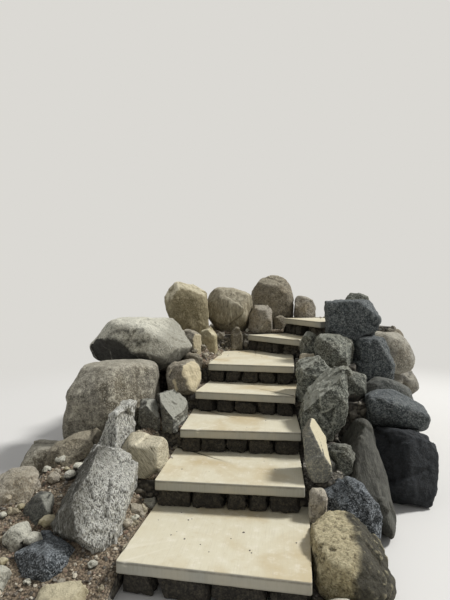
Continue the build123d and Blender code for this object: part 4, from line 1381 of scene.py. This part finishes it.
class STEPS_OT_set_stage(bpy.types.Operator):
    """Sets the camera, the soft light and the pale floor"""

    bl_idname = "steps.set_stage"
    bl_label = "Set the stage"

    def execute(self, context):
        given = settings("stage")
        scene = context.scene
        scene.view_settings.view_transform = "Standard"
        lens = bpy.data.cameras.new("camera")
        lens.sensor_width = SENSOR
        lens.lens = SENSOR * FOCAL_SHARE
        camera = bpy.data.objects.new("camera", lens)
        camera.location = CAMERA_AT
        camera.rotation_euler = (math.radians(90), 0, math.radians(CAMERA_TURN))
        scene.collection.objects.link(camera)
        scene.camera = camera

        # A wide soft lamp, high over the far end of the right bank
        lamp = bpy.data.lights.new("key", "AREA")
        lamp.shape = "DISK"
        lamp.size = LAMP_SIZE
        lamp.energy = given.key
        key = bpy.data.objects.new("key", lamp)
        key.location = LAMP_AIM + LAMP_REACH
        key.rotation_euler = (LAMP_AIM - key.location).to_track_quat("-Z", "Y").to_euler()
        scene.collection.objects.link(key)

        world = bpy.data.worlds.new("studio")
        world.use_nodes = True
        tree = world.node_tree
        tree.nodes.clear()
        even = add(tree, "ShaderNodeBackground", {"Color": srgb("#fbfcff"), "Strength": given.sky})
        shown = add(tree, "ShaderNodeBackground", {"Color": srgb(given.floor), "Strength": 1.0})
        both = add(tree, "ShaderNodeMixShader", {0: shown_directly(tree), 1: even, 2: shown})
        add(tree, "ShaderNodeOutputWorld", {"Surface": both})
        scene.world = world

        floor_mesh = bpy.data.meshes.new("floor")
        corners = [(x * FLOOR_HALF, y * FLOOR_HALF, 0) for x, y in ((-1, -1), (1, -1), (1, 1), (-1, 1))]
        floor_mesh.from_pydata(corners, [], [(0, 1, 2, 3)])
        floor = place_object("floor", floor_mesh)
        # Away from the steps the floor fades into the backdrop
        matt, tree, shader = blank_material("studio_floor")
        link(shader, {"Base Color": srgb(given.floor), "Roughness": 0.9})
        place = add(tree, "ShaderNodeTexCoord").outputs["Object"]
        reach = add(tree, "ShaderNodeVectorMath", {0: place, 1: (0, 2, 0)}, operation="DISTANCE")
        plain = add(tree, "ShaderNodeEmission", {"Color": srgb(given.floor), "Strength": 1.0})
        fade = {"Value": reach.outputs["Value"], "From Min": FLOOR_FADE[0], "From Max": FLOOR_FADE[1]}
        away = add(tree, "ShaderNodeMapRange", fade, interpolation_type="SMOOTHSTEP")
        far = add(tree, "ShaderNodeMath", {0: away, 1: shown_directly(tree)}, operation="MULTIPLY")
        both = add(tree, "ShaderNodeMixShader", {0: far, 1: shader, 2: plain})
        link(tree.nodes["Material Output"], {"Surface": both})
        floor_mesh.materials.append(matt)
        return {"FINISHED"}


class STEPS_OT_lay_slabs(bpy.types.Operator):
    """Lays the seven sawn slabs with their worn arrises"""

    bl_idname = "steps.lay_slabs"
    bl_label = "Lay the slabs"

    def execute(self, context):
        given = settings("slabs")
        colours = {
            "top": given.top, "side": given.side, "cloud": "#bfae88", "pale": "#e4decd", "streak": "#bdb49d",
            "speck": "#4d4232", "tool": "#999789", "darker_band": "#716c60",
        }
        stone = limestone(colours)
        for number in range(1, 8):
            node = f"tread_{number}"
            mesh = worn_slab(node, given.arris, given.chip, seed=number)
            mesh.materials.append(stone)
            settle(f"slab_{number}", mesh, [node])
        return {"FINISHED"}


class STEPS_OT_wall_risers(bpy.types.Operator):
    """Builds the squared rubble under each slab's front edge"""

    bl_idname = "steps.wall_risers"
    bl_label = "Build the risers"

    def execute(self, context):
        given = settings("rocks")
        chance = random.Random(given.seed)
        for number in range(1, 8):
            node = f"riser_{number}"
            made = []
            for points in shells(node):
                seed = chance.uniform(0, 90)
                # Most stones have lost a corner or two, and some stand back from the rest
                cuts = [
                    ((way, -0.3, chance.uniform(-0.9, 0.9)), chance.uniform(0.62, 0.95)) for way in (-1, 1)
                ]
                cuts.append(((0.1, -1, chance.uniform(-0.3, 0.5)), chance.uniform(0.8, 1)))
                made.append(weathered(points, "squared", 7 * MM * given.detail, "soiled_rubble", seed, cuts))
            tones = [chance.random() for _ in made]
            whole = merge_meshes(made, tones, ["soiled_rubble"] * len(made))
            settle(f"rubble_row_{number}", whole, [node])
        return {"FINISHED"}


class STEPS_OT_set_boulders(bpy.types.Operator):
    """Sets the large boulders of both banks and the head of the flight"""

    bl_idname = "steps.set_boulders"
    bl_label = "Set the boulders"

    def execute(self, context):
        given = settings("rocks")
        chance = random.Random(given.seed + 1)
        for node, (stone_name, kind, slot, size) in ROCKS.items():
            made = []
            for points in shells(node):
                seed = chance.uniform(0, 90)
                cuts = CUTS.get(node, ())
                made.append(weathered(points, kind, size * MM * given.detail, stone_name, seed, cuts))
            whole = merge_meshes(made, [0.5] * len(made), [stone_name] * len(made))
            settle(node.replace("_boulder", "_rock"), whole, [node])
        return {"FINISHED"}


class STEPS_OT_set_small_stones(bpy.types.Operator):
    """Sets the smaller stones and the courses that carry the banks"""

    bl_idname = "steps.set_small_stones"
    bl_label = "Set the small stones"

    def execute(self, context):
        given = settings("rocks")
        chance = random.Random(given.seed + 2)
        for node, (names, kind, slot, size) in CLUSTERS.items():
            made, stones = [], []
            for number, points in enumerate(shells(node)):
                seed = chance.uniform(0, 90)
                stones.append(names[number % len(names)])
                # Quarried blocks have lost their corners unevenly
                cuts = []
                if node.startswith("base"):
                    for x, z in ((1, 1), (1, -1), (-1, 1), (-1, -1)):
                        way = (x, x * chance.uniform(-1, 1), z * chance.uniform(0.4, 1.6))
                        cuts.append((way, chance.uniform(0.66, 0.92)))
                made.append(weathered(points, kind, size * MM * given.detail, stones[-1], seed, cuts))
            tones = [chance.random() for _ in made]
            settle(f"{node}_rough", merge_meshes(made, tones, stones), [node])
        return {"FINISHED"}


COBBLE_DENSITY = 34  # scattered cobbles to a square metre


class STEPS_OT_spread_gravel(bpy.types.Operator):
    """Fills the gaps with grit, gravel and cobbles"""

    bl_idname = "steps.spread_gravel"
    bl_label = "Spread the gravel"

    def execute(self, context):
        given = settings("gravel")
        space, packing = solid_space(packing=False), solid_space(packing=True)
        pebbles = {
            "Density": given.density, "Smallest": given.pebble, "Largest": given.pebble * 2.4,
            "Lift": 0.1, "Detail": 1,
        }
        cobbles = {
            "Density": COBBLE_DENSITY, "Smallest": given.cobble * 0.4, "Largest": given.cobble,
            "Lift": 0.25, "Detail": 3,
        }
        for number, bed in enumerate(BEDS):
            under, gravel, cobble = BED_STONES[bed.stones]
            grit = bed.mesh(given.pitch, packing)
            grit.materials.append(finish(under))
            settle(bed.name, grit)
            for kind, stone, values in (("pebbles", gravel, pebbles), ("cobbles", cobble, cobbles)):
                values["Seed"] = number + 5
                scatter(f"{bed.name}_{kind}", grit, space, faces_up, stone, values)
        return {"FINISHED"}


class STEPS_OT_set_cobbles(bpy.types.Operator):
    """Sets loose cobbles on the beds and crumbs of soil on the slabs"""

    bl_idname = "steps.set_cobbles"
    bl_label = "Set the cobbles"

    def execute(self, context):
        packing = solid_space(packing=True)
        made, stones = [], []
        for bed in BEDS:
            for x, y, width, stone_name in COBBLES.get(bed.name, ()):
                number = len(made)
                points = lump((x, y, bed.level(x, y, packing)), width, width * 0.75, number + 60)
                made.append(weathered(points, "cobble", 6 * MM, stone_name, number))
                stones.append(stone_name)
        tones = [0.3 + 0.4 * (i % 3) / 2 for i in range(len(made))]
        settle("loose_cobbles", merge_meshes(made, tones, stones))
        made = []
        for number, (slab, x, y, width) in enumerate(CRUMBS):
            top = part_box(f"tread_{slab}")[1].z
            made.append(on_floor(hull_mesh(lump((x, y, top - width * 0.1), width, width * 0.6, number + 90))))
        whole = merge_meshes(made, [0.3] * len(made), ["dark_gravel"] * len(made))
        settle("soil_crumbs", whole)
        return {"FINISHED"}


EMITTER_EDGE = 0.12  # the packing's faces are divided until their edges are this short


class STEPS_OT_face_packing(bpy.types.Operator):
    """Gives the packing its rubble face where it shows between the boulders"""

    bl_idname = "steps.face_packing"
    bl_label = "Face the packing"

    def execute(self, context):
        space = solid_space(packing=False)
        rubble = {
            "Density": settings("gravel").rubble, "Smallest": 0.04, "Largest": 0.11, "Lift": 0.0, "Detail": 2,
        }
        for number, node in enumerate(("packing_lower", "packing_upper")):
            NODES[node].data.materials.clear()
            NODES[node].data.materials.append(finish("packed_rubble"))
            cut = bmesh.new()
            cut.from_mesh(NODES[node].data)
            bmesh.ops.remove_doubles(cut, verts=cut.verts, dist=WELD)
            for _ in range(7):
                long = [edge for edge in cut.edges if edge.calc_length() > EMITTER_EDGE]
                if not long:
                    break
                bmesh.ops.subdivide_edges(cut, edges=long, cuts=1)
                bmesh.ops.triangulate(cut, faces=cut.faces)
            faces = mesh_of(cut, "packing_faces")
            rubble["Seed"] = number + 40
            scatter(f"{node}_rubble", faces, space, stands_upright, "wall_rubble", rubble)
        return {"FINISHED"}


OPERATORS = [
    STEPS_OT_set_stage,
    STEPS_OT_lay_slabs,
    STEPS_OT_wall_risers,
    STEPS_OT_set_boulders,
    STEPS_OT_set_small_stones,
    STEPS_OT_spread_gravel,
    STEPS_OT_set_cobbles,
    STEPS_OT_face_packing,
]


class STEPS_PT_panel(bpy.types.Panel):
    """Lists the settings and the steps that build the flight"""

    bl_idname = "STEPS_PT_panel"
    bl_label = "Garden Steps"
    bl_space_type = "VIEW_3D"
    bl_region_type = "UI"
    bl_category = "Steps"

    def draw(self, context):
        for name, group in GROUPS.items():
            box = self.layout.box()
            box.label(text=name.capitalize())
            for prop in group.__annotations__:
                box.prop(settings(name), prop)
        for operator in OPERATORS:
            self.layout.operator(operator.bl_idname)


def register():
    for made in [*GROUPS.values(), *OPERATORS, STEPS_PT_panel]:
        bpy.utils.register_class(made)
    for name, group in GROUPS.items():
        setattr(bpy.types.Scene, f"steps_{name}", bpy.props.PointerProperty(type=group))


def unregister():
    for name in GROUPS:
        delattr(bpy.types.Scene, f"steps_{name}")
    for made in reversed([*GROUPS.values(), *OPERATORS, STEPS_PT_panel]):
        bpy.utils.unregister_class(made)


def main():
    register()
    for operator in OPERATORS:
        module, name = operator.bl_idname.split(".")
        getattr(getattr(bpy.ops, module), name)()


if __name__ == "__main__":
    main()
